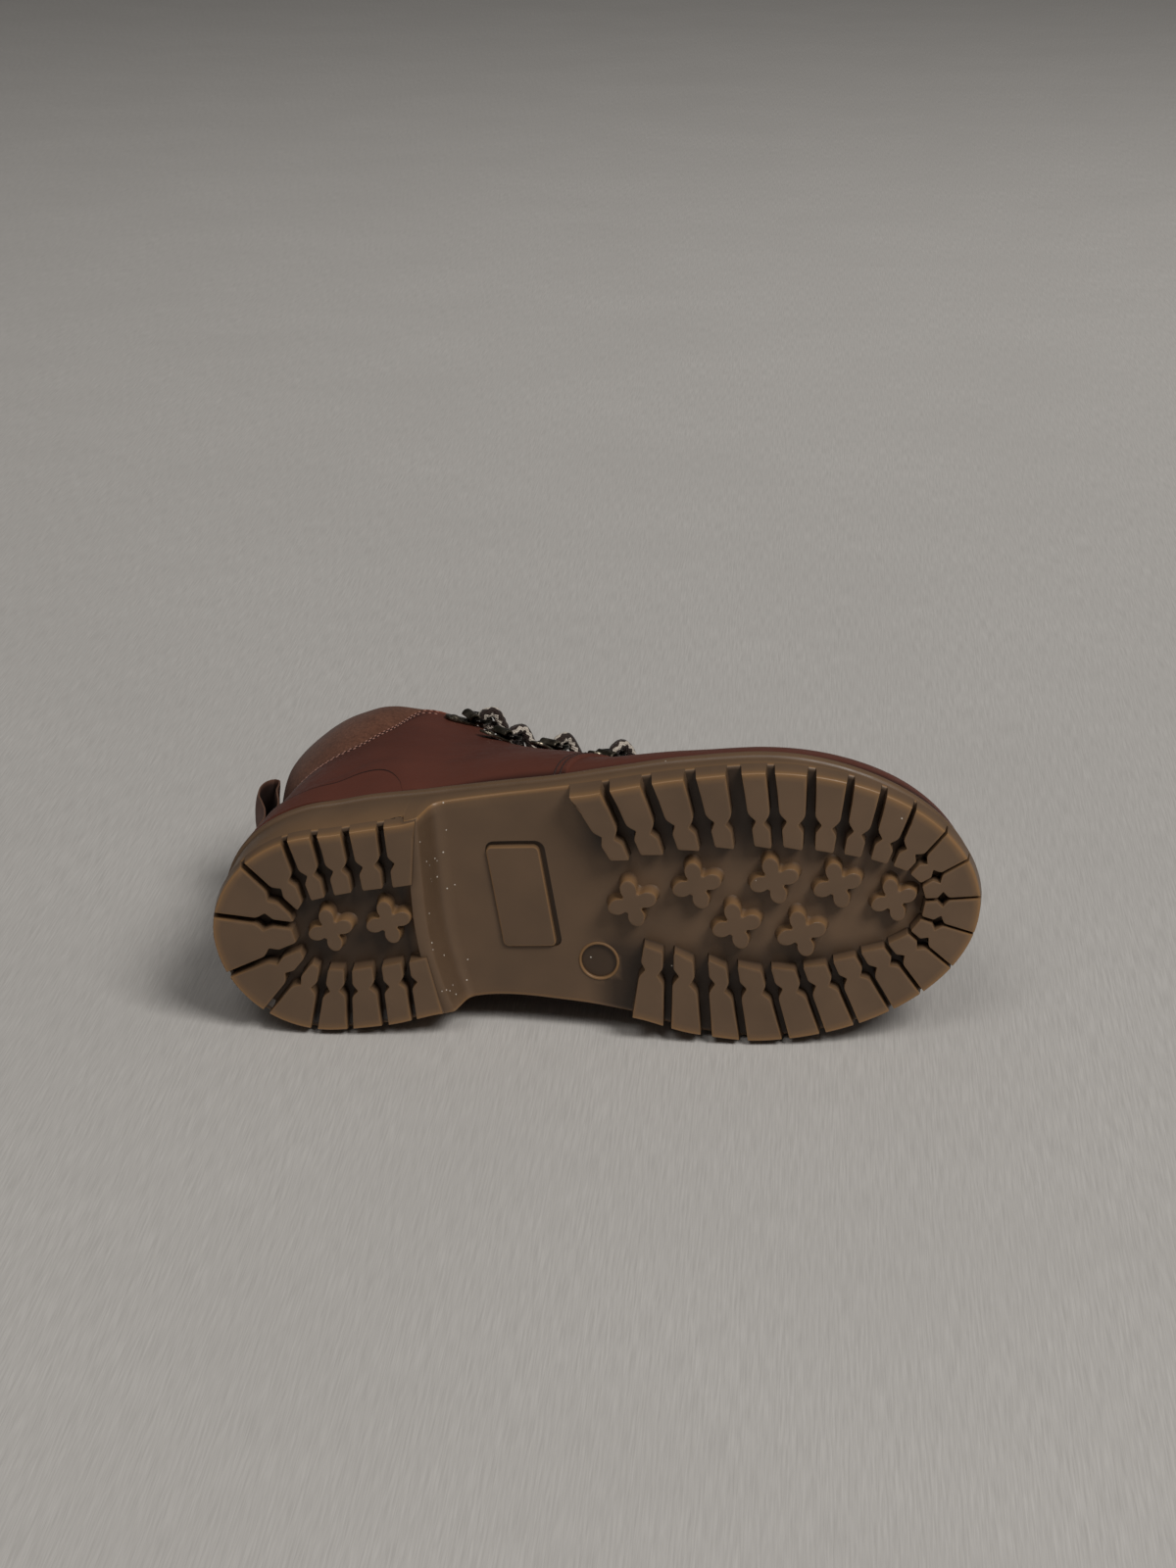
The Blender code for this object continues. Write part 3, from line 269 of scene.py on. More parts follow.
# Padded collar above the seam
COLLAR_FRONT_X = 52.0
COLLAR_STATIONS = 70
COLLAR_POINTS = 44
COLLAR_PUFF = 3.6
COLLAR_PAD = 6.5
COLLAR_FULL_HEIGHT = 26.0
COLLAR_TUCK = 0.35
RIMS = table(
    "foot_x x y z",
    (COLLAR_FRONT_X, 51.5, 27.8, 118.0), (43, 41, 29.0, 119.0), (33, 30, 27.5, 119.0),
    (18, 17, 20.5, 118.5), (6, 8, 11.0, 118.0), (0, 4.5, 0, 118.0))
COLLAR_PROFILE = table(
    "height puff pad",
    (-0.05, -0.12, 0.0), (0.0, 0.0, 0.0), (0.2, 0.7, 0.0), (0.48, 1.0, 0.0), (0.76, 0.8, 0.0),
    (0.94, 0.25, 0.0), (1.0, 0.0, 0.5), (0.94, 0.0, 0.95), (0.7, 0.0, 1.2), (0.35, 0.0, 1.05),
    (-0.02, 0.0, 0.43))

# Heel counter, a leather overlay on the quarters, and the soft edge of the stiffener round it
COUNTER_FRONT_X = 55.0
COUNTER_ROUND = 18.0
COUNTER_TOPS = table(
    "foot_x share",
    (0, 0.36), (6, 0.36), (18, 0.29), (31, 0.30), (40, 0.35), (47, 0.37), (SOLE_LENGTH, 0.37))
COUNTER_LEAST = 0.06
COUNTER_THICKNESS = 0.6
COUNTER_FOOT_SHARE = 0.02
COUNTER_BEVEL = 0.3
COUNTER_ROWS = 24
COUNTER_STATIONS = 64
COUNTER_SINK = 0.3
COUNTER_WARM = 0.7
# Dark band along the counter's top edge: edge paint, with painted shadow in the gap at the edge
COUNTER_EDGE_PAINT_AND_SHADOW = 0.92
BEVEL_ROWS = (COUNTER_ROWS - 4, COUNTER_ROWS - 1)
DARK_ROWS = (COUNTER_ROWS - 6, COUNTER_ROWS - 5)
STIFFENER_RISE = 0.45
STIFFENER_SCALE = 22.0
STIFFENER_FROM = 4.2
STIFFENER_TO = 7.0

# Tongue and insole
TONGUE_FEET = (99.5, 67.6)
TONGUE_STATIONS = 34
TONGUE_TUCKS = table("forward drop spread", (16.0, 10.5, 0.45), (6.5, 6.8, 0.58))
TONGUE_THICKNESS = 3.0
TONGUE_GAP = 0.6
TONGUE_MARGIN = 7.0
TONGUE_MARGIN_DROP = 1.2
TONGUE_CROWN = 0.019
TONGUE_ACROSS = 22
TONGUE_WING = (0.0, 0.35, 0.7)
TONGUE_SLIM = 0.75
TONGUE_SLIM_FROM = 0.82
TONGUE_TIP_SLIM = 0.7
TONGUE_TIP_FROM = 0.93
TONGUE_TOP_STEPS = (2.0, 4.0, 6.0, 8.0, 9.5, 10.5, 11.0)
INSOLE_THICKNESS = 3.0
INSOLE_STATIONS = 90
INSOLE_ACROSS = 18
INSOLE_INSET = FEATHER_INSET + WALL + 1.6
INSOLE_CUP = 1.2

# Pull loop: the path of its inner face at the back of the heel
LOOP_PATH = table(
    "x z",
    (1.8, 61.0), (2.1, 66.0), (2.5, 71.0), (1.4, 79.0), (-1.2, 88.0), (-3.6, 96.0), (-4.1, 102.0),
    (-3.3, 107.0), (-1.5, 109.0), (0.0, 107.5), (0.4, 104.0), (0.5, 100.0), (1.5, 94.5), (2.9, 88.5),
    (3.7, 83.0), (3.7, 77.0), (3.3, 71.0), (3.0, 65.0))
LOOP_WIDTH = 20.0
LOOP_THICKNESS = 1.2
LOOP_WRAP = 1.4
LOOP_STEP = 1.0
LOOP_ROUND = 0.35
LOOP_ROUND_POWER = 8
LOOP_RAW = (0.93, 1.0)
LOOP_PAINTED_SHADE = (1.0, 0.8)
LOOP_ACROSS = 12

# Lace hardware, one row for each pair from the top down
LACE_ROW_FEET = (68.0, 74.4, 79.8, 88.6, 97.0)
CLIP_SETBACK = 4.4
CLIP_LENGTH = 9.0
CLIP_WIDTH = 6.0
CLIP_SHEET = 0.9
CLIP_GAP = 0.05
CLIP_SLICES = 11
CLIP_BEVEL = 0.18
CLIP_BEVEL_ANGLE = math.radians(50)
CLIP_END = 0.98
RIVET_PLACE = 5.6
RIVET_RADIUS = 1.7
RIVET_HEIGHT = 0.75
RIVET_SIDES = 20
RIVET_RINGS = 5
RIVET_DOME = 0.94
RIVET_SINK = 0.3
RING_WIRE = 0.8
RING_CLEARANCE = 0.35
RING_HALF_WIDTH = 4.3
RING_REACH = 6.6
RING_TILTS = tuple(math.radians(degrees) for degrees in (10, 10, 18, 32, 32))
RING_BOW_POINTS = 32
RING_CORNER_POINTS = 4
RING_SIDES = 12
CURL_FROM = math.radians(-90)
CURL_TO = math.radians(190)
CURL_POINTS = 22
LACE_RADIUS = 1.7
LACE_SIDES = 18
LACE_GAP = 0.2
LACE_OVER = 1.4
LACE_STEP = 0.7

# Way of the lace round the bow of a ring, from under it to over it, and its end under the top bows
LACE_BOW = table(
    "reach axis up",
    (3.4, -2.0, 1.7), (0.4, -2.5, 1.02), (-1.75, -1.75, 0.51), (-2.5, 0.0, 0.0), (-1.75, 1.75, -0.51),
    (0.4, 2.5, -1.02), (3.4, -0.5, -2.72))
LACE_END = table("reach axis up", (4.0, -2.9, 0.0))

# Stitches
COLLAR_ROWS = table("down pitch length width", (1.4, 2.0, 1.15, 0.44), (4.8, 2.0, 1.15, 0.44))
SEAM_ROWS = table("down pitch length width", (-1.5, 2.6, 1.9, 0.6), (-3.2, 2.6, 1.9, 0.6))
STITCH_SINK = 0.05
STITCH_SIDES = 8
STITCH_RINGS = 5
STITCH_TAPER = 0.96
STITCH_DIP = 0.25
STITCH_STEP = 0.3
HOLE_RADIUS = 0.36
HOLE_RINGS = table("share rise", (1.0, -0.3), (1.0, 0.03), (0.5, 0.07))
COLLAR_ROW_FRONT = COLLAR_FRONT_X + 4
COLLAR_ROW_SAMPLES = 90
SEAM_SHARES = np.linspace(0.03, 0.97, 80)
TOP_SHARES = np.linspace(0.6, 1, 60)
NORMAL_STEP = 0.4
NORMAL_SHARE = 0.01

# Camera: the photograph's angle, with one foot point at its place in a frame of 1200 by 1600
FRAME_WIDTH = 1200
FRAME_HEIGHT = 1600
LENS = 70.0
SENSOR = 36.0
CAMERA_TURN = math.radians(4.42)
CAMERA_PITCH = math.radians(20.1)
CAMERA_ROLL = math.radians(-0.5)
CAMERA_DISTANCE = 0.8783
TARGET_FOOT = (111.0, 0.5, 0.0)
TARGET_PIXEL = (604.9, 936.5)

# Studio, in metres and watts
FLOOR_REACH = 14.0
SKY_COLOUR = (1.0, 0.985, 0.965, 1.0)
SKY_STRENGTH = 0.08
LIGHTS = table(
    "name place aim size watts tint",
    ("right", (1.9, -1.9, 2.9), (0, 0, 0.03), 1.5, 95.0, (1.0, 0.98, 0.955)),
    ("left", (-0.7, -2.2, 3.3), (0, 0, 0.03), 1.8, 28.0, (1.0, 0.98, 0.955)),
    ("backdrop", (0.4, 1.0, 1.5), (0.1, 3.0, 0), 1.2, 6.0, (1.0, 0.98, 0.96)))

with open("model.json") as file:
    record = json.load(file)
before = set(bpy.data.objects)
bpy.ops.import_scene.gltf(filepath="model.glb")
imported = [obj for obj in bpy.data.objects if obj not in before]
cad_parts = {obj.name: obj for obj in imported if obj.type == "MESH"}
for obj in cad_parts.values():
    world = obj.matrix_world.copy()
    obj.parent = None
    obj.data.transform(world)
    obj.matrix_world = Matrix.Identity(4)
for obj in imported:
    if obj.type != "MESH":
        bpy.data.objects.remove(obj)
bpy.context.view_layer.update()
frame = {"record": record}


def unit(vectors):
    """Vectors of length one along the last axis."""
    vectors = np.asarray(vectors, float)
    return vectors / np.linalg.norm(vectors, axis=-1, keepdims=True)


def row_frame():
    """Rotation and shift from the foot frame, in millimetres, to the frame of the solids, in metres."""
    mounts = {mount["name"]: mount for mount in frame["record"]["mounts"]}
    heel, ball = (np.array(mounts[name]["pos_m"]) for name in ("heel_tread", "forefoot_tread"))

    def axes(along, up):
        first = unit(along - up * np.dot(along, up))
        return np.column_stack((first, np.cross(up, first), up))

    foot_axes = axes(np.subtract(FOREFOOT_MOUNT, HEEL_MOUNT), np.array([0.0, 0.0, 1.0]))
    solid_axes = axes(ball - heel, -unit(mounts["heel_tread"]["axis"]))
    turn = solid_axes @ foot_axes.T
    return turn, heel - turn @ np.array(HEEL_MOUNT) * MM


ROW_TURN, ROW_SHIFT = row_frame()


def to_row(points):
    return np.asarray(points, float) @ ROW_TURN.T * MM + ROW_SHIFT


# Curves and surfaces of the last and the sole

def curve(keys, values, at, level_ends=False):
    """Monotone cubic curve through the values at rising keys, read at one place or many."""
    keys, values, at = (np.asarray(numbers, float) for numbers in (keys, values, at))
    spans = np.diff(keys)
    rises = np.diff(values) / spans
    slopes = np.concatenate((rises[:1], np.zeros(len(keys) - 2), rises[-1:]))
    product = rises[:-1] * rises[1:]
    rising = product > 0
    slopes[1:-1][rising] = 2 * product[rising] / (rises[:-1] + rises[1:])[rising]
    if level_ends:
        slopes[[0, -1]] = 0
    i = np.clip(np.searchsorted(keys, at, side="right") - 1, 0, len(keys) - 2)
    t = np.clip((at - keys[i]) / spans[i], 0, 1)
    start = (1 + 2 * t) * (1 - t) ** 2 * values[i] + t * (1 - t) ** 2 * spans[i] * slopes[i]
    end = t * t * (3 - 2 * t) * values[i + 1] + t * t * (t - 1) * spans[i] * slopes[i + 1]
    return start + end


def column(measures, key, name, at, level_ends=False):
    """Reads one column of a table as a smooth curve over its key column."""
    rows = sorted(measures, key=lambda row: getattr(row, key))
    keys = [getattr(row, key) for row in rows]
    return curve(keys, [getattr(row, name) for row in rows], at, level_ends)


def path_marks(path):
    """Length along a path at each of its points."""
    return np.concatenate(([0], np.cumsum(np.linalg.norm(np.diff(path, axis=0), axis=1))))


def on_path(at, marks, path):
    """Place on a path at a length along it, or at many."""
    return np.stack([np.interp(at, marks, values) for values in path.T], axis=-1)


def smooth_path(points, step):
    """Samples of a smooth curve through points, about a step apart."""
    points = np.asarray(points, float)
    marks = path_marks(points)
    places = np.linspace(0, marks[-1], max(int(marks[-1] / step), 2))
    return np.column_stack([curve(marks, points[:, axis], places) for axis in range(3)])


def soft_step(low, high, at):
    """Rises smoothly from 0 at low to 1 at high."""
    t = np.clip((at - low) / (high - low), 0, 1)
    return t * t * (3 - 2 * t)


def turn_at(x):
    """Place round one side of the boot, from 0 at the toe to 1 at the heel, for a length x."""
    return np.arccos(np.clip(2 * np.asarray(x, float) / SOLE_LENGTH - 1, -1, 1)) / math.pi


def length_at(turn):
    return SOLE_LENGTH * (1 + np.cos(math.pi * np.asarray(turn, float))) / 2


def outline_y(x, side):
    """Signed half-width of the tread at a length x."""
    x = np.asarray(x, float)
    name = SIDE_NAMES[side]
    toe_start = SOLE_LENGTH - TOE_ROUND
    round_heel = np.clip(1 - ((HEEL_ROUND - x) / HEEL_ROUND) ** 2, 0, None) ** 0.5
    power = TOE_CURVE[side]
    past = np.clip(x - toe_start, 0, None) / TOE_ROUND
    round_toe = np.clip(1 - past ** power, 0, None) ** (1 / power)
    heel = side * getattr(OUTLINE[0], name) * round_heel
    toe = TOE_TIP_Y + (side * getattr(OUTLINE[-1], name) - TOE_TIP_Y) * round_toe
    middle = side * column(OUTLINE, "x", name, x, level_ends=True)
    return np.where(x < HEEL_ROUND, heel, np.where(x > toe_start, toe, middle))


def outline_normal(turn, side):
    """Level direction that points out of the sole's outline."""
    turn = np.asarray(turn, float)
    step = 1e-4
    inside = np.clip(turn, 2 * step, 1 - 2 * step)
    ahead, behind = length_at(inside - step), length_at(inside + step)
    along = np.stack((ahead - behind, outline_y(ahead, side) - outline_y(behind, side)), axis=-1)
    normal = unit(np.stack((-along[..., 1], along[..., 0]), axis=-1) * side)
    normal = np.where((turn < step)[..., None], (1.0, 0.0), normal)
    return np.where((turn > 1 - step)[..., None], (-1.0, 0.0), normal)


def outline_point(turn, side, outset):
    x = length_at(turn)
    outset = np.asarray(outset, float)[..., None]
    return np.stack((x, outline_y(x, side)), axis=-1) + outline_normal(turn, side) * outset


def tread_height(x):
    rise = np.clip(np.asarray(x, float) - SPRING_START, 0, None) / (SOLE_LENGTH - SPRING_START)
    return TOE_SPRING * rise ** 2


def floor_height(x):
    """Underside of the sole between its lugs: heel, bar, breast, arch and forefoot."""
    x = np.asarray(x, float)
    heel = column(HEEL_FLOOR, "x", "z", x)
    return np.where(x < HEEL_FLOOR[-1].x, heel, column(LEVELS, "x", "floor", x) + tread_height(x))


def breast_shift(x, aside):
    """Shift forward near the heel breast of a place across the sole, from -1 outside to 1 inside."""
    near = np.exp(-((np.asarray(x, float) - BREAST_TOP) / BREAST_REACH) ** 2)
    return BREAST_CURVE * near * (np.clip(aside + BREAST_SKEW, 0, None) / (1 + BREAST_SKEW)) ** 2


def station_at(plan):
    """Length along the sole of points of its plan, before the shift near the heel breast."""
    x, y = plan[:, 0], plan[:, 1]
    outer, inner = outline_y(x, OUTER), outline_y(x, INNER)
    aside = np.clip(2 * (y - outer) / (inner - outer + TINY) - 1, -1, 1)
    station = x
    for _ in range(BREAST_ROUNDS):
        station = x - breast_shift(station, aside)
    return station


def wall_rise(x):
    """How far the side wall reaches below the underside at the slots of the heel."""
    return SLOT_RISE * soft_step(*SLOT_RISE_END, np.asarray(x, float))


def top_height(x):
    return column(LEVELS, "x", "top", x) + tread_height(x)


def midline_y(x):
    """Sideways curve of the foot's middle towards the big toe."""
    x = np.asarray(x, float)
    return TOE_TIP_Y * (np.clip(x - MIDLINE_START, 0, None) / (SOLE_LENGTH - MIDLINE_START)) ** 2


TURNED_SECTIONS = [row._replace(foot_x=float(turn_at(row.foot_x))) for row in SECTIONS]
TURNED_RIMS = [row._replace(foot_x=float(turn_at(row.foot_x))) for row in RIMS]


def round_heel(front_x, count):
    """Each side with its places, from the front of the outer side round the heel to the inner side."""
    turns = np.linspace(turn_at(front_x), 1, count)
    return (OUTER, length_at(turns)), (INNER, length_at(turns[-2::-1]))


def upper_point(foot_x, side, share):
    """Points on the last: round the boot by foot_x and side, up it by share from 0 to 1."""
    foot_x, share = np.broadcast_arrays(np.asarray(foot_x, float), np.asarray(share, float))
    turn = turn_at(foot_x)
    value = {name: column(TURNED_SECTIONS, "foot_x", name, turn) for name in SECTIONS[0]._fields[1:]}
    top = np.stack((value["top_x"], midline_y(value["top_x"]) + side * value["top_y"]), axis=-1)
    foot = outline_point(turn, side, np.full(turn.shape, -FEATHER_INSET))
    foot_z = top_height(foot[..., 0]) + PIECE_GAP
    angle = share * math.pi / 2
    power = 2 / value["fullness"]
    inward = np.where(share < 1, 1 - np.clip(np.cos(angle), 0, None) ** power, 1.0)
    upward = np.sin(angle) ** power
    belly = np.clip(np.sin(math.pi * upward), 0, None)
    swell = value["swell"] * belly
    if side == OUTER:
        swell = swell + column(OUTER_BULGES, "foot_x", "out", foot_x) * belly ** BULGE_POWER
    level = foot + (top - foot) * inward[..., None] + outline_normal(turn, side) * swell[..., None]
    height = foot_z + (value["top_z"] - foot_z) * upward
    return np.concatenate((level, height[..., None]), axis=-1)


# Meshes

def loft(rings, caps=True, closed=False):
    """Points and faces of a skin over closed rings of equal length."""
    count = len(rings[0])
    verts = np.concatenate(rings)
    faces = []
    for i in range(len(rings) if closed else len(rings) - 1):
        for j in range(count):
            k = (j + 1) % count
            a, b = i * count, (i + 1) % len(rings) * count
            faces.append((a + j, a + k, b + k, b + j))
    if caps and not closed:
        faces.append(tuple(range(count)))
        faces.append(tuple(range((len(rings) - 1) * count, len(rings) * count)))
    return verts, faces


def circle(centre, first, second, radius, sides):
    """Points round a centre, in the plane of two ways."""
    spin = np.linspace(0, 2 * math.pi, sides, endpoint=False)[:, None]
    return centre + (first * np.cos(spin) + second * np.sin(spin)) * radius


def join(parts):
    """One set of points and faces from several."""
    faces, start = [], 0
    for verts, part_faces in parts:
        faces.extend(tuple(index + start for index in face) for face in part_faces)
        start += len(verts)
    return np.concatenate([verts for verts, _ in parts]), faces


def grid_faces(rows, columns, start=0, flip=False):
    faces = []
    for i in range(rows - 1):
        for j in range(columns - 1):
            a = start + i * columns + j
            face = (a, a + columns, a + columns + 1, a + 1)
            faces.append(face[::-1] if flip else face)
    return faces


def add_object(name, data):
    thing = bpy.data.objects.new(name, data)
    bpy.context.scene.collection.objects.link(thing)
    return thing


def mesh_object(name, verts, faces, marks=None, uv=None, face_slots=None):
    """Mesh object from foot points, with named numbers at its points."""
    mesh = bpy.data.meshes.new(name)
    mesh.from_pydata(to_row(verts).tolist(), [], faces)
    for key, values in (marks or {}).items():
        mark = mesh.attributes.new(key, "FLOAT", "POINT")
        mark.data.foreach_set("value", np.asarray(values, np.float32))
    if uv is not None:
        layer = mesh.uv_layers.new(name="along")
        loops = np.concatenate([np.asarray(corner, np.float32) for corner in uv])
        layer.data.foreach_set("uv", loops.ravel())
    if face_slots is not None:
        mesh.polygons.foreach_set("material_index", np.asarray(face_slots, np.int32))
    shape = bmesh.new()
    shape.from_mesh(mesh)
    bmesh.ops.remove_doubles(shape, verts=shape.verts, dist=WELD)
    bmesh.ops.recalc_face_normals(shape, faces=shape.faces)
    shape.to_mesh(mesh)
    shape.free()
    return add_object(name, mesh)


def finish_piece(thing, materials, stands_for=(), sharp=40):
    """Gives a mesh its materials and shading, and its place in the frame."""
    thing.data.materials.clear()
    for material in materials:
        thing.data.materials.append(material)
    thing.data.shade_smooth()
    thing.data.set_sharp_from_angle(angle=math.radians(sharp))
    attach(thing, "root")
    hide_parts(*stands_for)
    return thing


def baked(thing):
    """Replaces an object's mesh by its modifiers' result."""
    graph = bpy.context.evaluated_depsgraph_get()
    mesh = bpy.data.meshes.new_from_object(thing.evaluated_get(graph), preserve_all_data_layers=True,
                                           depsgraph=graph)
    thing.modifiers.clear()
    thing.data = mesh


def cut_away(thing, helper):
    """Cuts an object with a helper, which goes."""
    step = thing.modifiers.new("cut", "BOOLEAN")
    step.object = helper
    step.operation = "DIFFERENCE"
    step.use_self = True
    baked(thing)
    bpy.data.objects.remove(helper, do_unlink=True)


# Outsole

def wall_lean(x, out, height):
    """How far the side wall leans in at a height over the tread, on the outer side of the foot."""
    inset, reach = (column(WALL_LEANS, "x", name, x) for name in ("inset", "height"))
    return inset * np.clip(-np.asarray(out)[..., 1], 0, 1) * np.clip(1 - height / reach, 0, 1)


def sole_wall(x, turn, side):
    """Points up the side wall at one place round the sole, from its lower edge to the lip."""
    out = outline_normal(turn, side)
    tuck = float(column(LIP_TUCKS, "x", SIDE_NAMES[side], x, level_ends=True))
    tread, top = float(tread_height(x)), float(top_height(x))
    foot = float(floor_height(x)) - float(wall_rise(x))
    points = []
    for row in FOOT_ROWS:
        height = foot + row.above_floor
        outset = RIM_OUTSET - row.inset - float(wall_lean(x, out, height - tread))
        points.append((*outline_point(turn, side, outset), height))
    for row in LIP_ROWS:
        outset = row.outset - tuck - float(wall_lean(x, out, top - tread - row.below_top))
        point = outline_point(turn, side, outset)
        points.append((*point, float(top_height(point[0])) - row.below_top))
    return np.array(points)


def sole_painted_light(x, shares):
    """Painted light of the wall's points and painted shade across the underside, at one length."""
    slotted = soft_step(*FOREFOOT_SLOTTED, x) + soft_step(*HEEL_SLOTTED, x)
    feet = [low + (high - low) * slotted for low, high in zip(FOOT_PAINTED_LIGHT, SLOT_PAINTED_LIGHT)]
    slots = SLOT_SHADE * slotted * soft_step(*SLOT_BAND, np.minimum(shares, 1 - shares))
    breast = BREAST_SHADE * soft_step(*BREAST_FROM, x) * soft_step(*BREAST_TO, x)
    recess = RECESS_SHADE * soft_step(*RECESS_END, x)
    return feet + [row.glow for row in LIP_ROWS], list(-np.maximum(slots, max(recess, breast)))


def sole_station(x):
    """Ring of points round the sole at one length, curved near the heel breast, with its painted light.
    """
    inside = 0 < x < SOLE_LENGTH
    walls = {}
    for side in (OUTER, INNER):
        shift = breast_shift(x, side) if inside else 0
        walls[side] = sole_wall(x, float(turn_at(x + shift)), side)
    shares = np.linspace(0, 1, SOLE_STRIPS + 1)[1:-1]
    under = walls[OUTER][0] + (walls[INNER][0] - walls[OUTER][0]) * shares[:, None]
    under[:, 2] = floor_height(x)
    if inside:
        straight = breast_shift(x, INNER) * shares + breast_shift(x, OUTER) * (1 - shares)
        under[:, 0] += breast_shift(x, 2 * shares - 1) - straight
    over = walls[INNER][-1] + (walls[OUTER][-1] - walls[INNER][-1]) * shares[:, None]
    over[:, 2] = top_height(over[:, 0])
    wall_painted_light, strip_painted_shade = sole_painted_light(x, shares)
    ring = np.concatenate((walls[OUTER][:1], under, walls[INNER], over, walls[OUTER][:0:-1]))
    glow = wall_painted_light[:1] + strip_painted_shade + wall_painted_light + [0.0] * len(over) + wall_painted_light[:0:-1]
    return ring, glow


def sole_body():
    even = length_at(np.linspace(1, 0, SOLE_STATIONS))
    heel = [row.x for row in HEEL_FLOOR[1:]]
    kept = [x for x in even[1:-1] if not heel[0] - HEEL_CLEAR < x < heel[-1] + HEEL_CLEAR]
    stations = [sole_station(x) for x in sorted([0.0, SOLE_LENGTH, *heel, *kept])]
    verts, faces = loft([ring for ring, _ in stations], caps=False)
    return verts, faces, np.concatenate([glow for _, glow in stations])


def lug_outline(ring):
    """Outline under a ring of lugs, a little past its ends, with its marks and those of the slots."""
    outer = np.linspace(turn_at(ring.outer_x), ring.turn_end, RING_SAMPLES)
    inner = np.linspace(ring.turn_end, turn_at(ring.inner_x), RING_SAMPLES)[1:]
    flat = np.zeros(1)
    path = np.concatenate((outline_point(outer, OUTER, flat), outline_point(inner, INNER, flat)))
    path = np.concatenate((2 * path[:1] - path[3:4], path, 2 * path[-1:] - path[-4:-3]))
    steps = path_marks(path)
    steps = steps - steps[1]
    pitches = np.cumsum([slot.pitch for slot in ring.slots])
    return path, steps, pitches / pitches[-1] * steps[-2]


def lug_plan(ring, path, steps, first, last, level):
    """Plan at one level of the lug between two slots, each a mark, its slot and its notch."""

    def on_edge(mark):
        return on_path(mark, steps, path)

    def side(mark, slot, notch, toward):
        outer = on_edge(mark)
        run = np.array([slot.inner_x, slot.inner_y]) - outer
        across = unit(np.array([-run[1], run[0]]))
        across = across * math.copysign(1, np.dot(across, toward))
        rows = [(row.share * ring.neck, row.notch, row.widen) for row in LUG_OUTER]
        rows += [(ring.neck + row.share * (1 - ring.neck), row.notch, row.widen) for row in LUG_INNER]
        points = []
        for reach, depth, widen in rows:
            further = level.grow / np.linalg.norm(run) if reach > LUG_TIP else 0
            aside = slot.gap / 2 * widen + notch * ring.notch * depth - level.grow
            points.append(outer + run * (reach + further) + across * aside)
        return points

    toward = on_edge(last[0]) - on_edge(first[0])
    start, stop = last[0] - last[1].gap / 2 + level.grow, first[0] + first[1].gap / 2 - level.grow
    marks = np.linspace(start, stop, RIM_SAMPLES)
    places = on_edge(marks)
    along = on_edge(marks + RIM_STEP) - on_edge(marks - RIM_STEP)
    out = unit(np.stack((along[:, 1], -along[:, 0]), axis=-1))
    out = out * np.sign(((places - np.array([ring.middle_x, 0])) * out).sum(axis=1))[:, None]
    station = station_at(places)
    floor = floor_height(station) - tread_height(places[:, 0])
    height, full = level.depth * floor + level.lift, floor - wall_rise(station) + WALL_FULL
    outset = RIM_LOW + (RIM_OUTSET + RIM_OVER - RIM_LOW) * np.clip(height / full, 0, 1) + level.rim
    outset = outset - wall_lean(places[:, 0], out, height) - RIM_DIVE * (height > full)
    sides = np.concatenate((side(*first, toward), side(*last, -toward)[::-1]))
    # Painted golden light lies mostly on the rim at the wall, painted shade only on the slot sides
    painted_light_scales = (SIDE_PAINTED_LIGHT, 1.0) if level.glow > 0 else (1.0, 0.0)
    plan = np.concatenate((sides, places + out * outset[:, None]))
    return plan, np.repeat(painted_light_scales, (len(sides), len(places)))


def stud(plans, levels, drop=0.0, floor_bound=True):
    """Stud from its tread face up into the sole, with its painted light at each point."""
    rings, glow = [], []
    for (plan, edge), level in zip(plans, levels):
        tread, floor = tread_height(plan[:, 0]) + drop, floor_height(station_at(plan))
        base = tread + (floor - tread) * level.depth if floor_bound else floor
        rings.append(np.column_stack((plan, base + level.lift)))
        glow.append(edge * level.glow)
    return loft(rings), np.concatenate(glow)


def lug_studs():
    studs = []
    for ring in LUG_RINGS:
        path, steps, marks = lug_outline(ring)
        notches = [ring.end_notch] + [1.0] * (len(marks) - 2) + [ring.end_notch]
        slots = list(zip(marks, ring.slots, notches))
        for first, last in zip(slots, slots[1:]):
            plans = [lug_plan(ring, path, steps, first, last, level) for level in LUG_LEVELS]
            studs.append(stud(plans, LUG_LEVELS))
    return studs


def clover_plan(clover, grow):
    """Four round petals that meet at a narrow waist."""
    angles = np.linspace(0, 2 * math.pi, CLOVER_POINTS, endpoint=False)
    aside = (angles + math.pi / 4) % (math.pi / 2) - math.pi / 4
    a = (np.cos(aside) / PETAL_LENGTH) ** 2 + (np.sin(aside) / PETAL_WIDTH) ** 2
    b = PETAL_PLACE * np.cos(aside) / PETAL_LENGTH ** 2
    c = (PETAL_PLACE / PETAL_LENGTH) ** 2 - 1
    reach = np.where(b * b > a * c, (b + np.sqrt(np.clip(b * b - a * c, 0, None))) / a, 0)
    blend = (reach ** CLOVER_BLEND + CLOVER_WAIST ** CLOVER_BLEND) ** (1 / CLOVER_BLEND)
    radius = clover.size * blend + grow
    heading = angles + CLOVER_TURN
    plan = np.column_stack((clover.x + radius * np.cos(heading), clover.y + radius * np.sin(heading)))
    return plan, np.ones(len(plan))


def clover_studs():
    studs = []
    for clover in CLOVERS:
        plans = [clover_plan(clover, level.grow) for level in CLOVER_LEVELS]
        studs.append(stud(plans, CLOVER_LEVELS, CLOVER_DROP))
    return studs


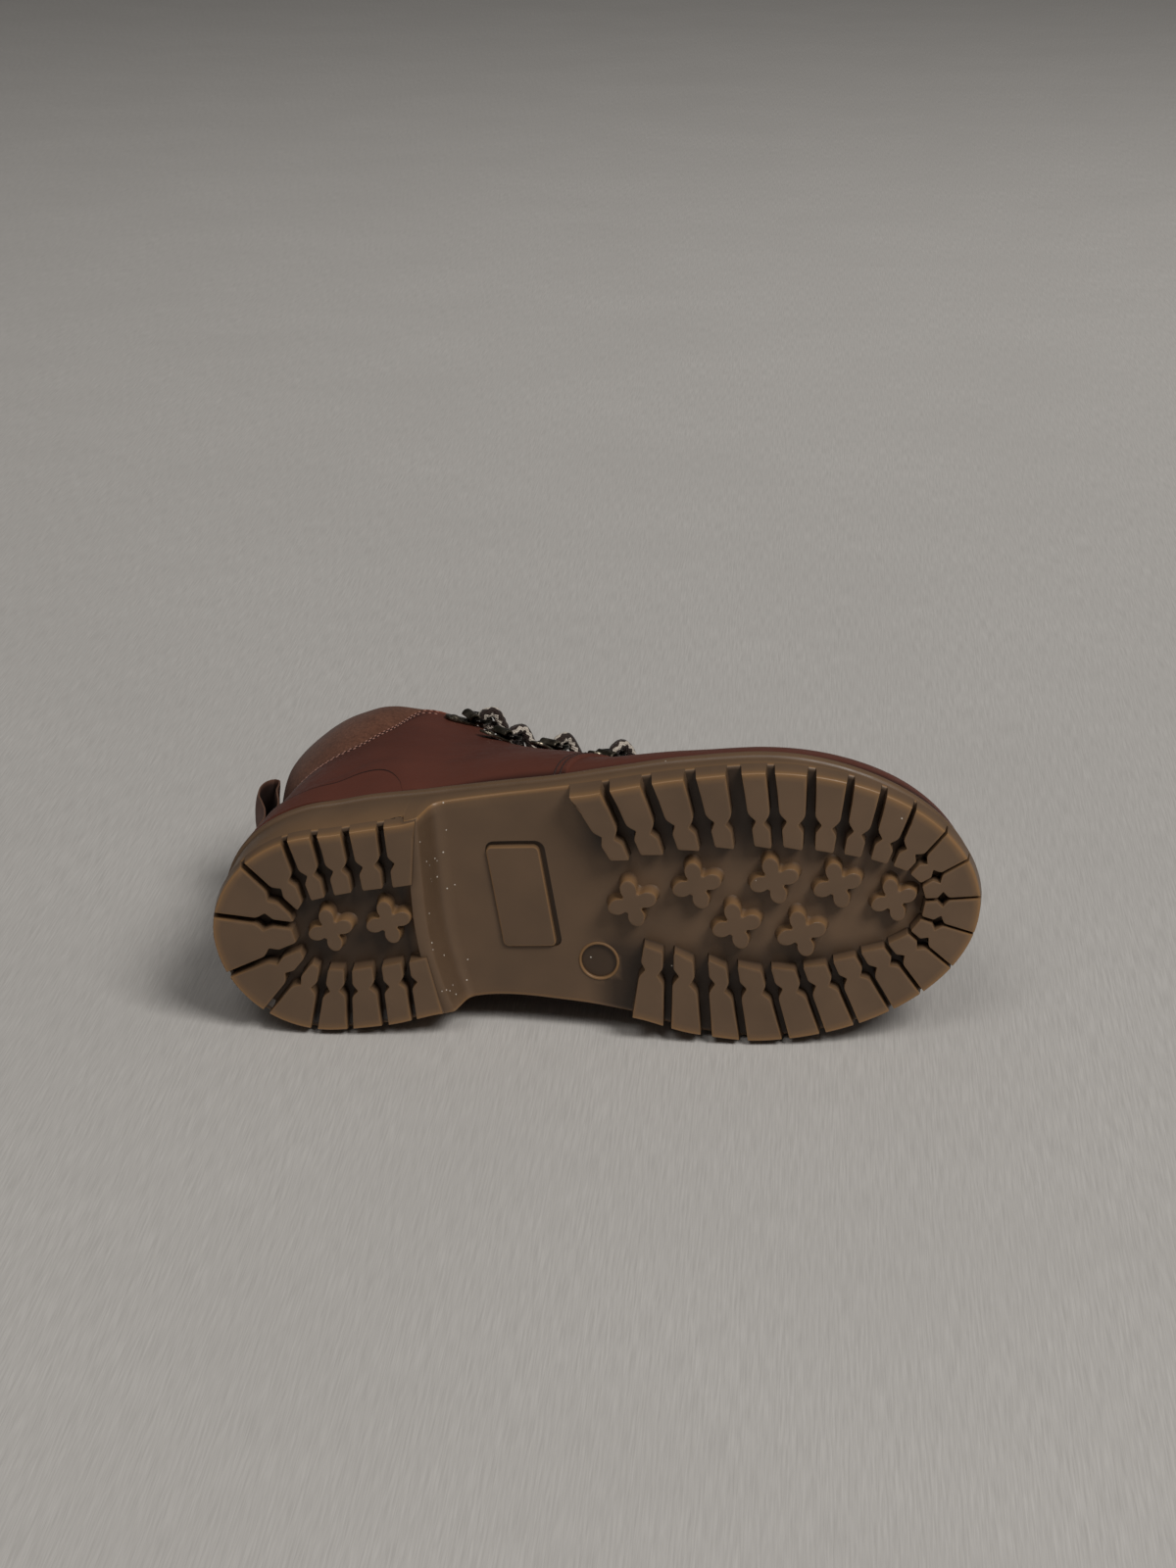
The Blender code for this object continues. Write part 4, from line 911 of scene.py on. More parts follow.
def panel_plan(grow):
    """Skewed rectangle with round corners."""
    points = []
    for corner_x, corner_y, start in ((1, 1, 0), (-1, 1, 90), (-1, -1, 180), (1, -1, 270)):
        for degrees in range(start, start + 91, 15):
            angle = math.radians(degrees)
            reach = PANEL_ROUND + grow
            x = corner_x * (PANEL_HALF_X - PANEL_ROUND) + reach * math.cos(angle)
            y = corner_y * (PANEL_HALF_Y - PANEL_ROUND) + reach * math.sin(angle)
            points.append((PANEL_X + x + PANEL_LEAN * y, PANEL_Y + y))
    return np.array(points), np.ones(len(points))


def medallion_plan(radius):
    return circle((MEDALLION_X, MEDALLION_Y), *np.eye(2), radius, MEDALLION_POINTS)


def medallion_rim():
    rings, glow = [], []
    for row in MEDALLION_RIM:
        plan = medallion_plan(MEDALLION_RADIUS + row.outset)
        rings.append(np.column_stack((plan, floor_height(plan[:, 0]) + row.lift)))
        glow.append(np.full(len(plan), MEDALLION_PAINTED_HIGHLIGHT if row.lift < 0 else 0.0))
    return loft(rings, closed=True), np.concatenate(glow)


def cutter(name, plan, depth):
    """Helper that sinks a plan into the underside of the sole."""
    floor = floor_height(plan[:, 0])
    rings = [np.column_stack((plan, floor + lift)) for lift in (-CUTTER_REACH, depth)]
    return mesh_object(name, *loft(rings))


def shade_sunk(sole):
    """Paints shade on the sunk floors of the panel's pocket and of the medallion."""
    points = np.empty(len(sole.data.vertices) * 3)
    sole.data.vertices.foreach_get("co", points)
    x, y, z = ((points.reshape(-1, 3) - ROW_SHIFT) @ ROW_TURN / MM).T
    lift = z - floor_height(x)
    sunk = (x > SUNK_X[0]) & (x < SUNK_X[1]) & (abs(y) < SUNK_Y)
    sunk = sunk & (lift > SUNK_LIFT[0]) & (lift < SUNK_LIFT[1])
    glow = np.empty(len(x))
    sole.data.attributes["glow"].data.foreach_get("value", glow)
    glow[sunk] = SUNK_SHADE
    sole.data.attributes["glow"].data.foreach_set("value", glow)


def make_outsole(rubber):
    verts, faces, glow = sole_body()
    # Mask where painted sparkle highlights gather
    dust = np.exp(-((verts[:, 0] - PAINTED_SPARKLE_X) / PAINTED_SPARKLE_REACH) ** 2)
    sole = mesh_object("outsole_rubber", verts, faces, {"glow": glow, "dust": dust})
    cut_away(sole, cutter("pocket", panel_plan(POCKET_GROW)[0] + POCKET_SHIFT, POCKET_DEPTH))
    cut_away(sole, cutter("medallion", medallion_plan(MEDALLION_RADIUS), MEDALLION_DEPTH))
    shade_sunk(sole)
    panel = stud([panel_plan(level.grow) for level in PANEL_LEVELS], PANEL_LEVELS, floor_bound=False)
    studs = lug_studs() + clover_studs() + [panel, medallion_rim()]
    verts, faces = join([shape for shape, _ in studs])
    glow = np.concatenate([edges for _, edges in studs])
    tread = mesh_object("tread_rubber", verts, faces, {"glow": glow})
    for piece in (sole, tread):
        finish_piece(piece, [rubber], ["outsole"], sharp=32)


# Upper

def shared_points(points):
    """One number for each point, the same where points coincide."""
    return np.unique(np.round(points, 4), axis=0, return_inverse=True)[1].ravel()


def sheet_normals(points, faces):
    """Outward normal at each point of a sheet of quads, shared where points coincide."""
    same = shared_points(points)
    corners = np.asarray(faces)
    first, second, third, fourth = (points[corners[:, place]] for place in range(4))
    areas = np.cross(third - first, fourth - second)
    sums = np.zeros((same.max() + 1, 3))
    for place in range(4):
        np.add.at(sums, same[corners[:, place]], areas)
    return unit(sums[same] + 1e-12)


def open_edges(points, faces):
    """Edges that only one face of a sheet uses, in the order of that face."""
    same = shared_points(points)
    uses = {}
    for face in faces:
        for a, b in zip(face, face[1:] + face[:1]):
            if same[a] != same[b]:
                uses.setdefault(frozenset((same[a], same[b])), []).append((a, b))
    return [edges[0] for edges in uses.values() if len(edges) == 1]


def wall_sheet(points, faces, above, below):
    """Closed wall round a sheet of quads, its faces outside, inside and at the edge in slots 0 to 2."""
    normals = sheet_normals(points, faces)
    over = points + normals * np.broadcast_to(above, len(points))[:, None]
    under = points - normals * np.broadcast_to(below, len(points))[:, None]
    count = len(points)
    inside = [tuple(index + count for index in reversed(face)) for face in faces]
    edge = [(b, a, a + count, b + count) for a, b in open_edges(points, faces)]
    slots = [0] * len(faces) + [1] * len(inside) + [2] * len(edge)
    return np.concatenate((over, under)), list(faces) + inside + edge, slots


def counter_edge(foot_x):
    """How far a place lies along the counter's round front corner, and the counter's top there."""
    along = np.clip(foot_x - (COUNTER_FRONT_X - COUNTER_ROUND), 0, None) / COUNTER_ROUND
    return along, column(COUNTER_TOPS, "foot_x", "share", foot_x)


def stiffener_rise(foot_x, share):
    """Height of the stiffener under the leather, which fades outside the heel counter's edge."""
    along, top = counter_edge(foot_x)
    up = np.clip(share - COUNTER_LEAST, 0, None) / (top - COUNTER_LEAST)
    outside = (np.hypot(along, up) - 1) * STIFFENER_SCALE
    return STIFFENER_RISE * (1 - soft_step(STIFFENER_FROM, STIFFENER_TO, outside))


def upper_rise(foot_x, share):
    """Height of the leather over the last: the quarters over the vamp, and the stiffener under them."""
    quarter = 1 - soft_step(SEAM_FOOT_X - SEAM_WIDTH / 2, SEAM_FOOT_X + SEAM_WIDTH / 2, foot_x)
    return QUARTER_STEP * quarter + stiffener_rise(foot_x, share)


def make_upper(leather, lining, edge):
    feet = length_at(np.linspace(0, 1, UPPER_STATIONS))
    seam = [SEAM_FOOT_X + SEAM_WIDTH * share for share in (-1, -0.5, 0.5, 1)]
    clear = [x for x in feet if abs(x - SEAM_FOOT_X) > SEAM_CLEAR]
    feet = np.array(sorted(clear + seam, reverse=True))
    shares = np.concatenate((np.linspace(0, EDGE_ROWS[0], UPPER_ROWS)[:-1], EDGE_ROWS))
    rounding = np.concatenate((np.zeros(UPPER_ROWS - 1), EDGE_ROUND))
    foot_grid, share_grid = np.meshgrid(feet, shares, indexing="ij")
    at_throat = soft_step(*THROAT_FADE, foot_grid)
    rise = upper_rise(foot_grid, share_grid) - rounding[None, :] * at_throat
    points, faces, above = [], [], []
    for side in (OUTER, INNER):
        start = len(points) * foot_grid.size
        points.append(upper_point(foot_grid, side, share_grid).reshape(-1, 3))
        faces += grid_faces(len(feet), len(shares), start, side == OUTER)
        above.append(rise.ravel())
    verts, faces, slots = wall_sheet(np.concatenate(points), faces, np.concatenate(above), WALL)
    foot, up = (np.tile(grid.ravel(), 4) for grid in (foot_grid, share_grid))
    raw = soft_step(*RAW_UP, up) * soft_step(*RAW_FROM, foot) * soft_step(*RAW_TO, foot)
    sewn = soft_step(*SEWN_UP, up) * soft_step(*SEWN_TOP, up) * soft_step(*SEWN_FRONT, foot)
    # dark mark: painted shade at the foot of the upper, and a darker band below the collar
    dark = FOOT_PAINTED_SHADE * soft_step(*FOOT_UP, up) + SEWN_DARK * sewn
    marks = {"warm": soft_step(*WARM_UP, up), "dark": dark, "raw": raw}
    upper = mesh_object("upper_leather", verts, faces, marks, face_slots=slots)
    finish_piece(upper, [leather, lining, edge], ["upper"])


def counter_share(foot_x):
    """How far up the wall the counter reaches, with a round front corner."""
    along, top = counter_edge(foot_x)
    return COUNTER_LEAST + (top - COUNTER_LEAST) * np.clip(1 - along ** 2, 0, None) ** 0.5


def make_heel_counter(leather, edge):
    lift = np.sin(np.linspace(0, math.pi / 2, COUNTER_ROWS))
    points = []
    for side, feet in round_heel(COUNTER_FRONT_X, COUNTER_STATIONS):
        reach = counter_share(feet)[:, None] - COUNTER_FOOT_SHARE
        shares = COUNTER_FOOT_SHARE + reach * lift[None, :]
        points.append(upper_point(feet[:, None], side, shares).reshape(-1, 3))
    stations = 2 * COUNTER_STATIONS - 1
    faces = grid_faces(stations, COUNTER_ROWS, 0, True)
    under = QUARTER_STEP + STIFFENER_RISE
    rows = np.arange(COUNTER_ROWS)
    drop = np.tile(np.interp(rows, BEVEL_ROWS, (0, COUNTER_BEVEL)), stations)
    above = under + COUNTER_THICKNESS - drop
    verts, faces, slots = wall_sheet(np.concatenate(points), faces, above, COUNTER_SINK - under)
    # Edge paint with painted shadow along the counter's top edge
    dark = np.tile(np.interp(rows, DARK_ROWS, (0, COUNTER_EDGE_PAINT_AND_SHADOW)), 2 * stations)
    marks = {"warm": np.full(len(verts), COUNTER_WARM), "dark": dark}
    slots = [slot // 2 for slot in slots]
    counter = mesh_object("heel_counter_leather", verts, faces, marks, face_slots=slots)
    finish_piece(counter, [leather, edge], ["heel_counter"])


def collar_ring(foot_x, side):
    """Section of the padded collar over the seam."""
    base = upper_point(foot_x, side, 1.0)
    turn = turn_at(foot_x)
    x, y, z = (column(TURNED_RIMS, "foot_x", name, turn) for name in ("x", "y", "z"))
    rim = np.array([x, side * y, z])
    out = np.array([*outline_normal(turn, side), 0])
    base = base + out * (QUARTER_STEP - COLLAR_TUCK)
    puff = COLLAR_PUFF * min((rim[2] - base[2]) / COLLAR_FULL_HEIGHT, 1)
    keys = np.arange(len(COLLAR_PROFILE))
    places = np.linspace(0, keys[-1], COLLAR_POINTS)
    height, swell, pad = (curve(keys, [getattr(row, name) for row in COLLAR_PROFILE], places)
                          for name in COLLAR_PROFILE[0]._fields)
    return base + (rim - base) * height[:, None] + out * (puff * swell - COLLAR_PAD * pad)[:, None]


def make_collar(nubuck):
    sides = round_heel(COLLAR_FRONT_X, COLLAR_STATIONS)
    rings = [collar_ring(float(foot_x), side) for side, feet in sides for foot_x in feet]
    collar = mesh_object("collar_nubuck", *loft(rings))
    finish_piece(collar, [nubuck], ["collar"])


# Throat, tongue and lace hardware

def throat_frame(foot_x, side):
    """Edge of the throat, the leather's normal, the way into the throat and the leather's rise."""
    behind, edge, ahead = upper_point(foot_x + np.array([EDGE_STEP, 0, -EDGE_STEP]), side, 1.0)
    along = unit(ahead - behind)
    lean = math.radians(float(column(THROAT_SLOPES, "z", "degrees", edge[2])))
    guess = np.array([0, side * math.cos(lean), math.sin(lean)])
    guess = unit(guess - along * np.dot(guess, along))
    into = np.cross(along, guess)
    into = into * math.copysign(1, np.dot(into, (FORWARD_BIAS, -side, 0)))
    feet = foot_x + np.arange(-PATCH_FEET, PATCH_FEET + 1)[:, None]
    shares = 1 - np.linspace(0, PATCH_SHARE, PATCH_ROWS)[None, :]
    offsets = upper_point(feet, side, shares).reshape(-1, 3) - edge
    near = (abs(offsets @ along) < PATCH_WIDTH / 2) & (-(offsets @ into) < PATCH_LENGTH)
    patch = offsets[near]
    _, _, ways = np.linalg.svd(patch - patch.mean(axis=0))
    normal = ways[2] * math.copysign(1, np.dot(ways[2], guess))
    rise = np.percentile(patch @ normal, PATCH_PERCENT)
    return edge, normal, unit(into - normal * np.dot(into, normal)), rise


def tongue_section(foot_x):
    """Points across the tongue, under both edges of the throat and over the gap between them."""
    ends = {}
    for side in (OUTER, INNER):
        edge, normal, into, _ = throat_frame(foot_x, side)
        under = edge - normal * (WALL + TONGUE_GAP)
        margin = under - into * TONGUE_MARGIN - normal * TONGUE_MARGIN_DROP
        ends[side] = (under, margin, normal)
    lift = unit(ends[OUTER][2] + ends[INNER][2])
    span = ends[INNER][0] - ends[OUTER][0]
    crown = TONGUE_CROWN * (np.linalg.norm(span) / 2) ** 2
    shares = np.linspace(0, 1, TONGUE_ACROSS + 1)[:, None]
    middle = ends[OUTER][0] + span * shares + lift * crown * (1 - (2 * shares - 1) ** 2)
    outer, inner = ([margin + (under - margin) * share for share in TONGUE_WING]
                    for under, margin, _ in (ends[OUTER], ends[INNER]))
    return np.concatenate((outer, middle, inner[::-1]))


def make_tongue(leather, lining):
    sections = [tongue_section(foot_x) for foot_x in np.linspace(*TONGUE_FEET, TONGUE_STATIONS)]
    first = sections[0]
    tucked = [first * (1, tuck.spread, 1) + (tuck.forward, 0, -tuck.drop) for tuck in TONGUE_TUCKS]
    way = unit((sections[-1] - sections[-4]).mean(axis=0))
    sections = tucked + sections + [sections[-1] + way * step for step in TONGUE_TOP_STEPS]
    faces = grid_faces(len(sections), len(first), 0, True)
    across = np.abs(np.linspace(-1, 1, len(first)))
    along = np.linspace(0, 1, len(sections))[:, None]
    slim = 1 - TONGUE_SLIM * soft_step(TONGUE_SLIM_FROM, 1.0, across)[None, :]
    slim = slim * (1 - TONGUE_TIP_SLIM * soft_step(TONGUE_TIP_FROM, 1.0, along))
    thickness = (TONGUE_THICKNESS * slim).ravel()
    verts, faces, slots = wall_sheet(np.concatenate(sections), faces, 0.0, thickness)
    tongue = mesh_object("tongue_leather", verts, faces, face_slots=[slot % 2 for slot in slots])
    finish_piece(tongue, [leather, lining], ["tongue"], sharp=60)


def make_insole(fabric):
    rings = []
    shares = np.linspace(0, 1, INSOLE_ACROSS)
    for turn in np.linspace(0, 1, INSOLE_STATIONS):
        outer, inner = (outline_point(turn, side, -INSOLE_INSET) for side in (OUTER, INNER))
        plan = outer + (inner - outer) * shares[:, None]
        low = np.column_stack((plan, top_height(plan[:, 0]) + PIECE_GAP))
        cup = INSOLE_THICKNESS - INSOLE_CUP * np.sin(math.pi * shares) * math.sin(math.pi * turn)
        rings.append(np.concatenate((low, (low + cup[:, None] * (0, 0, 1))[::-1])))
    insole = mesh_object("insole_fabric", *loft(rings, caps=False))
    finish_piece(insole, [fabric], ["insole"])


def make_pull_loop(leather):
    path = smooth_path([(point.x, 0, point.z) for point in LOOP_PATH], LOOP_STEP)
    along = unit(np.gradient(path, axis=0))
    out = np.column_stack((-along[:, 2], np.zeros(len(path)), along[:, 0]))
    shares = np.linspace(-1, 1, LOOP_ACROSS + 1)
    rounding = LOOP_ROUND * np.abs(shares) ** LOOP_ROUND_POWER
    side = np.column_stack((LOOP_WRAP * shares ** 2, shares * LOOP_WIDTH / 2, np.zeros(len(shares))))
    rings = []
    for point, way in zip(path, out):
        under = point + side + way * rounding[:, None]
        over = point + side + way * (LOOP_THICKNESS - rounding)[:, None]
        rings.append(np.concatenate((under, over[::-1])))
    aside = np.abs(np.concatenate((shares, shares[::-1])))
    # Painted shade on the loop's inner faces, fading near its edges
    inside = np.repeat((1.0, 0.0), len(shares)) * soft_step(*LOOP_PAINTED_SHADE, aside)
    ring_marks = {"raw": soft_step(*LOOP_RAW, aside), "inside": inside}
    marks = {key: np.tile(values, len(path)) for key, values in ring_marks.items()}
    loop = mesh_object("pull_loop_leather", *loft(rings), marks)
    finish_piece(loop, [leather], ["pull_loop"])


def clip_frame(foot_x, side):
    """Seat of a lace clip, with the ways out of the leather, into the throat and along its edge."""
    edge, normal, into, rise = throat_frame(foot_x, side)
    seat = edge - into * CLIP_SETBACK + normal * (rise + QUARTER_STEP + CLIP_GAP)
    return seat, normal, into, np.cross(normal, into)


def curl_centre(seat, normal):
    return seat + normal * (RING_WIRE + RING_CLEARANCE + CLIP_SHEET)


def make_clip(name, frame_ways, metal, node):
    """Flat plate with a round end and a rivet, whose front curls over the ring."""
    seat, normal, into, along = frame_ways
    outer_radius = RING_WIRE + RING_CLEARANCE + CLIP_SHEET
    inner_radius = outer_radius - CLIP_SHEET
    angles = np.linspace(CURL_FROM, CURL_TO, CURL_POINTS)
    rings = []
    for offset in np.linspace(-1, 1, CLIP_SLICES) * CLIP_WIDTH / 2:
        end = math.sqrt(max((CLIP_WIDTH / 2) ** 2 - offset ** 2, 0)) * CLIP_END
        back = -CLIP_LENGTH + CLIP_WIDTH / 2 - end
        profile = [(back, 0.0)]
        for radius, way in ((outer_radius, angles), (inner_radius, angles[::-1])):
            profile += [(radius * math.cos(a), outer_radius + radius * math.sin(a)) for a in way]
        profile.append((back, CLIP_SHEET))
        rings.append(np.array([seat + into * e + normal * n + along * offset for e, n in profile]))
    place = seat - into * RIVET_PLACE + normal * CLIP_SHEET
    dome = []
    for level in np.linspace(0, 1, RIVET_RINGS):
        radius = RIVET_RADIUS * math.sqrt(1 - RIVET_DOME * level ** 2)
        lift = level * RIVET_HEIGHT - RIVET_SINK * (level == 0)
        dome.append(circle(place + normal * lift, into, along, radius, RIVET_SIDES))
    clip = mesh_object(name, *join([loft(rings), loft(dome)]))
    bevel = clip.modifiers.new("edges", "BEVEL")
    bevel.width = CLIP_BEVEL * MM
    bevel.segments = 2
    bevel.limit_method = "ANGLE"
    bevel.angle_limit = CLIP_BEVEL_ANGLE
    baked(clip)
    finish_piece(clip, [metal], [node], sharp=30)


def ring_ways(frame_ways, tilt):
    """Middle of the ring's bar, the way along it, the way to its bow and the axis of the ring."""
    seat, normal, into, along = frame_ways
    reach = into * math.cos(tilt) + normal * math.sin(tilt)
    axis = np.cross(along, reach)
    return curl_centre(seat, normal), along, reach, axis * math.copysign(1, np.dot(axis, normal))


def make_ring(name, frame_ways, tilt, metal, node):
    """Wire ring with a straight bar in the clip's curl and a round bow over the throat."""
    centre, along, reach, axis = ring_ways(frame_ways, tilt)
    bow = RING_REACH - RING_HALF_WIDTH
    bar = RING_HALF_WIDTH - RING_WIRE
    angles = np.linspace(-math.pi / 2, math.pi / 2, RING_BOW_POINTS)
    plan = [(RING_HALF_WIDTH * math.sin(a), bow + RING_HALF_WIDTH * math.cos(a)) for a in angles]
    corner = np.linspace(0, math.pi / 2, RING_CORNER_POINTS)
    plan += [(bar + RING_WIRE * math.cos(a), RING_WIRE - RING_WIRE * math.sin(a)) for a in corner]
    plan += [(bar * share, 0.0) for share in (0.5, 0.0, -0.5)]
    plan += [(-bar - RING_WIRE * math.sin(a), RING_WIRE - RING_WIRE * math.cos(a)) for a in corner]
    path = np.array([centre + along * a + reach * d for a, d in plan])
    ways = unit(np.roll(path, -1, axis=0) - np.roll(path, 1, axis=0))
    out = unit(np.cross(ways, axis))
    rings = [circle(point, side, axis, RING_WIRE, RING_SIDES) for point, side in zip(path, out)]
    ring = mesh_object(name, *loft(rings, closed=True))
    finish_piece(ring, [metal], [node])


def make_hardware(plate_metal, ring_metal):
    for row, (foot_x, tilt) in enumerate(zip(LACE_ROW_FEET, RING_TILTS), 1):
        for side, word in SIDE_NAMES.items():
            ways = clip_frame(foot_x, side)
            make_clip(f"clip_{word}_{row}", ways, plate_metal, f"lace_clip_{word}_{row}")
            make_ring(f"ring_{word}_{row}", ways, tilt, ring_metal, f"lace_ring_{word}_{row}")


def tongue_crest(foot_x):
    """Point over the middle of the tongue, clear of it by a lace's radius, and the way out of it."""
    section = tongue_section(foot_x)
    middle = section[len(section) // 2]
    ahead = tongue_section(foot_x - 1)[len(section) // 2] - middle
    normal = unit(np.array([ahead[2], 0, -ahead[0]]))
    return middle + normal * (LACE_RADIUS + LACE_GAP), normal


def lace_pass(row, side):
    """Points of the lace on its way down: under a ring's bow, up through the ring and over it."""
    foot_x = LACE_ROW_FEET[row]
    centre, _, reach, axis = ring_ways(clip_frame(foot_x, side), RING_TILTS[row])
    behind, ahead = upper_point(foot_x + np.array([EDGE_STEP, -EDGE_STEP]), side, 1.0)
    up = unit(ahead - behind)
    bow = centre + reach * RING_REACH
    way = LACE_BOW if row else LACE_END + LACE_BOW[1:]
    return [bow + reach * point.reach + axis * point.axis + up * point.up for point in way]


def lace_route():
    """The one lace: from the top outer ring to the lowest pair and up again to the top inner ring."""

    def on_side(row, first):
        return lace_pass(row, -first if row % 2 else first)

    def crossing(row, raised):
        crest, normal = tongue_crest((LACE_ROW_FEET[row] + LACE_ROW_FEET[row + 1]) / 2)
        return crest + normal * LACE_OVER * raised

    last = len(LACE_ROW_FEET) - 1
    points = []
    for row in range(last):
        points += on_side(row, OUTER) + [crossing(row, row % 2 == 0)]
    points += on_side(last, OUTER) + [tongue_crest(LACE_ROW_FEET[last])[0]]
    for row in range(last, 0, -1):
        points += on_side(row, INNER)[::-1] + [crossing(row - 1, row % 2 == 0)]
    return points + on_side(0, INNER)[::-1]


def tube(path, radius, sides):
    """Round tube along a path, without twist, with the length and turn at each corner of its faces."""
    ways = unit(np.gradient(path, axis=0))
    across = unit(np.cross(ways[0], (1.0, 0.0, 0.3)))
    rings = []
    for point, way in zip(path, ways):
        across = unit(across - way * np.dot(across, way))
        rings.append(circle(point, across, np.cross(way, across), radius, sides))
    verts, faces = loft(rings)
    steps = path_marks(path)
    uv = []
    for i in range(len(path) - 1):
        for j in range(sides):
            turn, after = j / sides, (j + 1) / sides
            uv.append([(steps[i], turn), (steps[i], after), (steps[i + 1], after), (steps[i + 1], turn)])
    uv += [[(end, j / sides) for j in range(sides)] for end in (steps[0], steps[-1])]
    return verts, faces, uv


def make_lace(cord):
    path = smooth_path(lace_route(), LACE_STEP)
    verts, faces, uv = tube(path, LACE_RADIUS, LACE_SIDES)
    lace = mesh_object("lace_braid", verts, faces, uv=uv)
    crossings = [f"lace_cross_{number}" for number in range(1, len(LACE_ROW_FEET))]
    finish_piece(lace, [cord], crossings + ["lace_bar"], sharp=80)


# Stitches

def stitch(middle, along, out, length, width):
    """One stitch of thread, a short rounded bead that dips at both ends."""
    across = np.cross(along, out)
    rings = []
    for place in np.linspace(-1, 1, STITCH_RINGS):
        radius = width / 2 * math.sqrt(max(1 - (STITCH_TAPER * place) ** 2, 0))
        centre = middle + along * place * length / 2 - out * STITCH_DIP * width * place ** 2
        rings.append(circle(centre, across, out, radius, STITCH_SIDES))
    return loft(rings)


def hole(middle, along, out):
    """Needle hole at the end of a stitch, a dimple painted near-black as the shade in the hole."""
    across = np.cross(along, out)
    return loft([circle(middle + out * ring.rise, across, along, HOLE_RADIUS * ring.share, STITCH_SIDES)
                 for ring in HOLE_RINGS])


def surface_row(feet, side, down):
    """Points on the leather of one side, a distance down from the top edge, with its normals."""
    points, normals = [], []
    for foot_x in feet:
        wall = upper_point(foot_x, side, TOP_SHARES)
        share = np.interp(down, path_marks(wall[::-1]), TOP_SHARES[::-1])
        points.append(surface_point(foot_x, side, share))
        normals.append(surface_normal(foot_x, side, share))
    return np.array(points), np.array(normals)


def surface_normal(foot_x, side, share):
    behind, ahead = (upper_point(foot_x + step, side, share) for step in (NORMAL_STEP, -NORMAL_STEP))
    below = upper_point(foot_x, side, share - NORMAL_SHARE)
    above = upper_point(foot_x, side, min(share + NORMAL_SHARE, 1))
    return unit(np.cross(ahead - behind, above - below)) * side


def surface_point(foot_x, side, share):
    rise = upper_rise(np.asarray(foot_x), np.asarray(share))
    return upper_point(foot_x, side, share) + surface_normal(foot_x, side, share) * rise


def sewn_row(points, normals, row):
    """Stitches and needle holes along a line on the leather."""
    marks = path_marks(points)
    count = int(marks[-1] / row.pitch)
    stitches, holes = [], []
    for i in range(count):
        place = (i + 0.5) * row.pitch
        steps = (-STITCH_STEP, 0, STITCH_STEP)
        before, middle, after = (on_path(place + step, marks, points) for step in steps)
        along = unit(after - before)
        out = unit(on_path(place, marks, normals))
        out = unit(out - along * np.dot(out, along))
        stitches.append(stitch(middle + out * STITCH_SINK, along, out, row.length, row.width))
        holes.append(hole(middle + along * row.pitch / 2, along, out))
    return stitches, holes


def make_stitches(thread, dark_thread, dark):
    pale, seams, holes = [], [], []
    for row in COLLAR_ROWS:
        sides = round_heel(COLLAR_ROW_FRONT, COLLAR_ROW_SAMPLES)
        lines = [surface_row(feet, side, row.down) for side, feet in sides]
        sewn = sewn_row(*(np.concatenate(pair) for pair in zip(*lines)), row)
        pale += sewn[0]
        holes += sewn[1]
    for row in SEAM_ROWS:
        foot_x = SEAM_FOOT_X + row.down
        for side in (OUTER, INNER):
            points, normals = (np.array([surface(foot_x, side, share) for share in SEAM_SHARES])
                               for surface in (surface_point, surface_normal))
            sewn = sewn_row(points, normals, row)
            seams += sewn[0]
            holes += sewn[1]
    names = ("collar_stitches", "seam_stitches", "needle_holes")
    for name, parts, material in zip(names, (pale, seams, holes), (thread, dark_thread, dark)):
        finish_piece(mesh_object(name, *join(parts)), [material], sharp=80)


# Materials

def colour(red, green, blue):
    """Linear colour of an 8-bit display colour."""
    shares = [level / 255 for level in (red, green, blue)]
    return (*[s / 12.92 if s <= 0.04045 else ((s + 0.055) / 1.055) ** 2.4 for s in shares], 1.0)


class Shader:
    """One material's nodes, made and linked in short steps."""

    def __init__(self, name, **values):
        self.material = bpy.data.materials.new(name)
        self.material.use_nodes = True
        self.tree = self.material.node_tree
        self.main = self.tree.nodes["Principled BSDF"]
        for key, value in values.items():
            self.set(key.replace("_", " ").title().replace("Ior", "IOR"), value)

    def set(self, name, value):
        self.feed(self.main.inputs[name], value)

    def feed(self, socket, value):
        if isinstance(value, bpy.types.NodeSocket):
            self.tree.links.new(value, socket)
        else:
            socket.default_value = value

    def node(self, kind, inputs, output=0, **settings):
        made = self.tree.nodes.new("ShaderNode" + kind)
        for name, value in settings.items():
            setattr(made, name, value)
        for name, value in inputs.items():
            self.feed(made.inputs[name], value)
        return made.outputs[output]

    def place(self):
        return self.node("TexCoord", {}, "Object")

    def noise(self, scale, detail=3.0, roughness=0.55, where=None):
        where = where or self.place()
        inputs = {"Vector": where, "Scale": scale, "Detail": detail, "Roughness": roughness}
        return self.node("TexNoise", inputs)

    def cells(self, scale, where=None, **settings):
        where = where or self.place()
        return self.node("TexVoronoi", {"Vector": where, "Scale": scale}, **settings)

    def attribute(self, name):
        return self.node("Attribute", {}, "Fac", attribute_name=name)

    def span(self, value, low, high, to_low=0.0, to_high=1.0):
        inputs = {"Value": value, "From Min": low, "From Max": high, "To Min": to_low, "To Max": to_high}
        return self.node("MapRange", inputs)

    def math(self, operation, first, second=0.0):
        return self.node("Math", {0: first, 1: second}, operation=operation)

    def times(self, first, second):
        return self.math("MULTIPLY", first, second)

    def mix(self, share, first, second):
        return self.node("Mix", {0: share, 6: first, 7: second}, 2, data_type="RGBA")

    def bump(self, height, strength, distance, below=None):
        inputs = {"Height": height, "Strength": strength, "Distance": distance * MM}
        if below is not None:
            inputs["Normal"] = below
        return self.node("Bump", inputs)


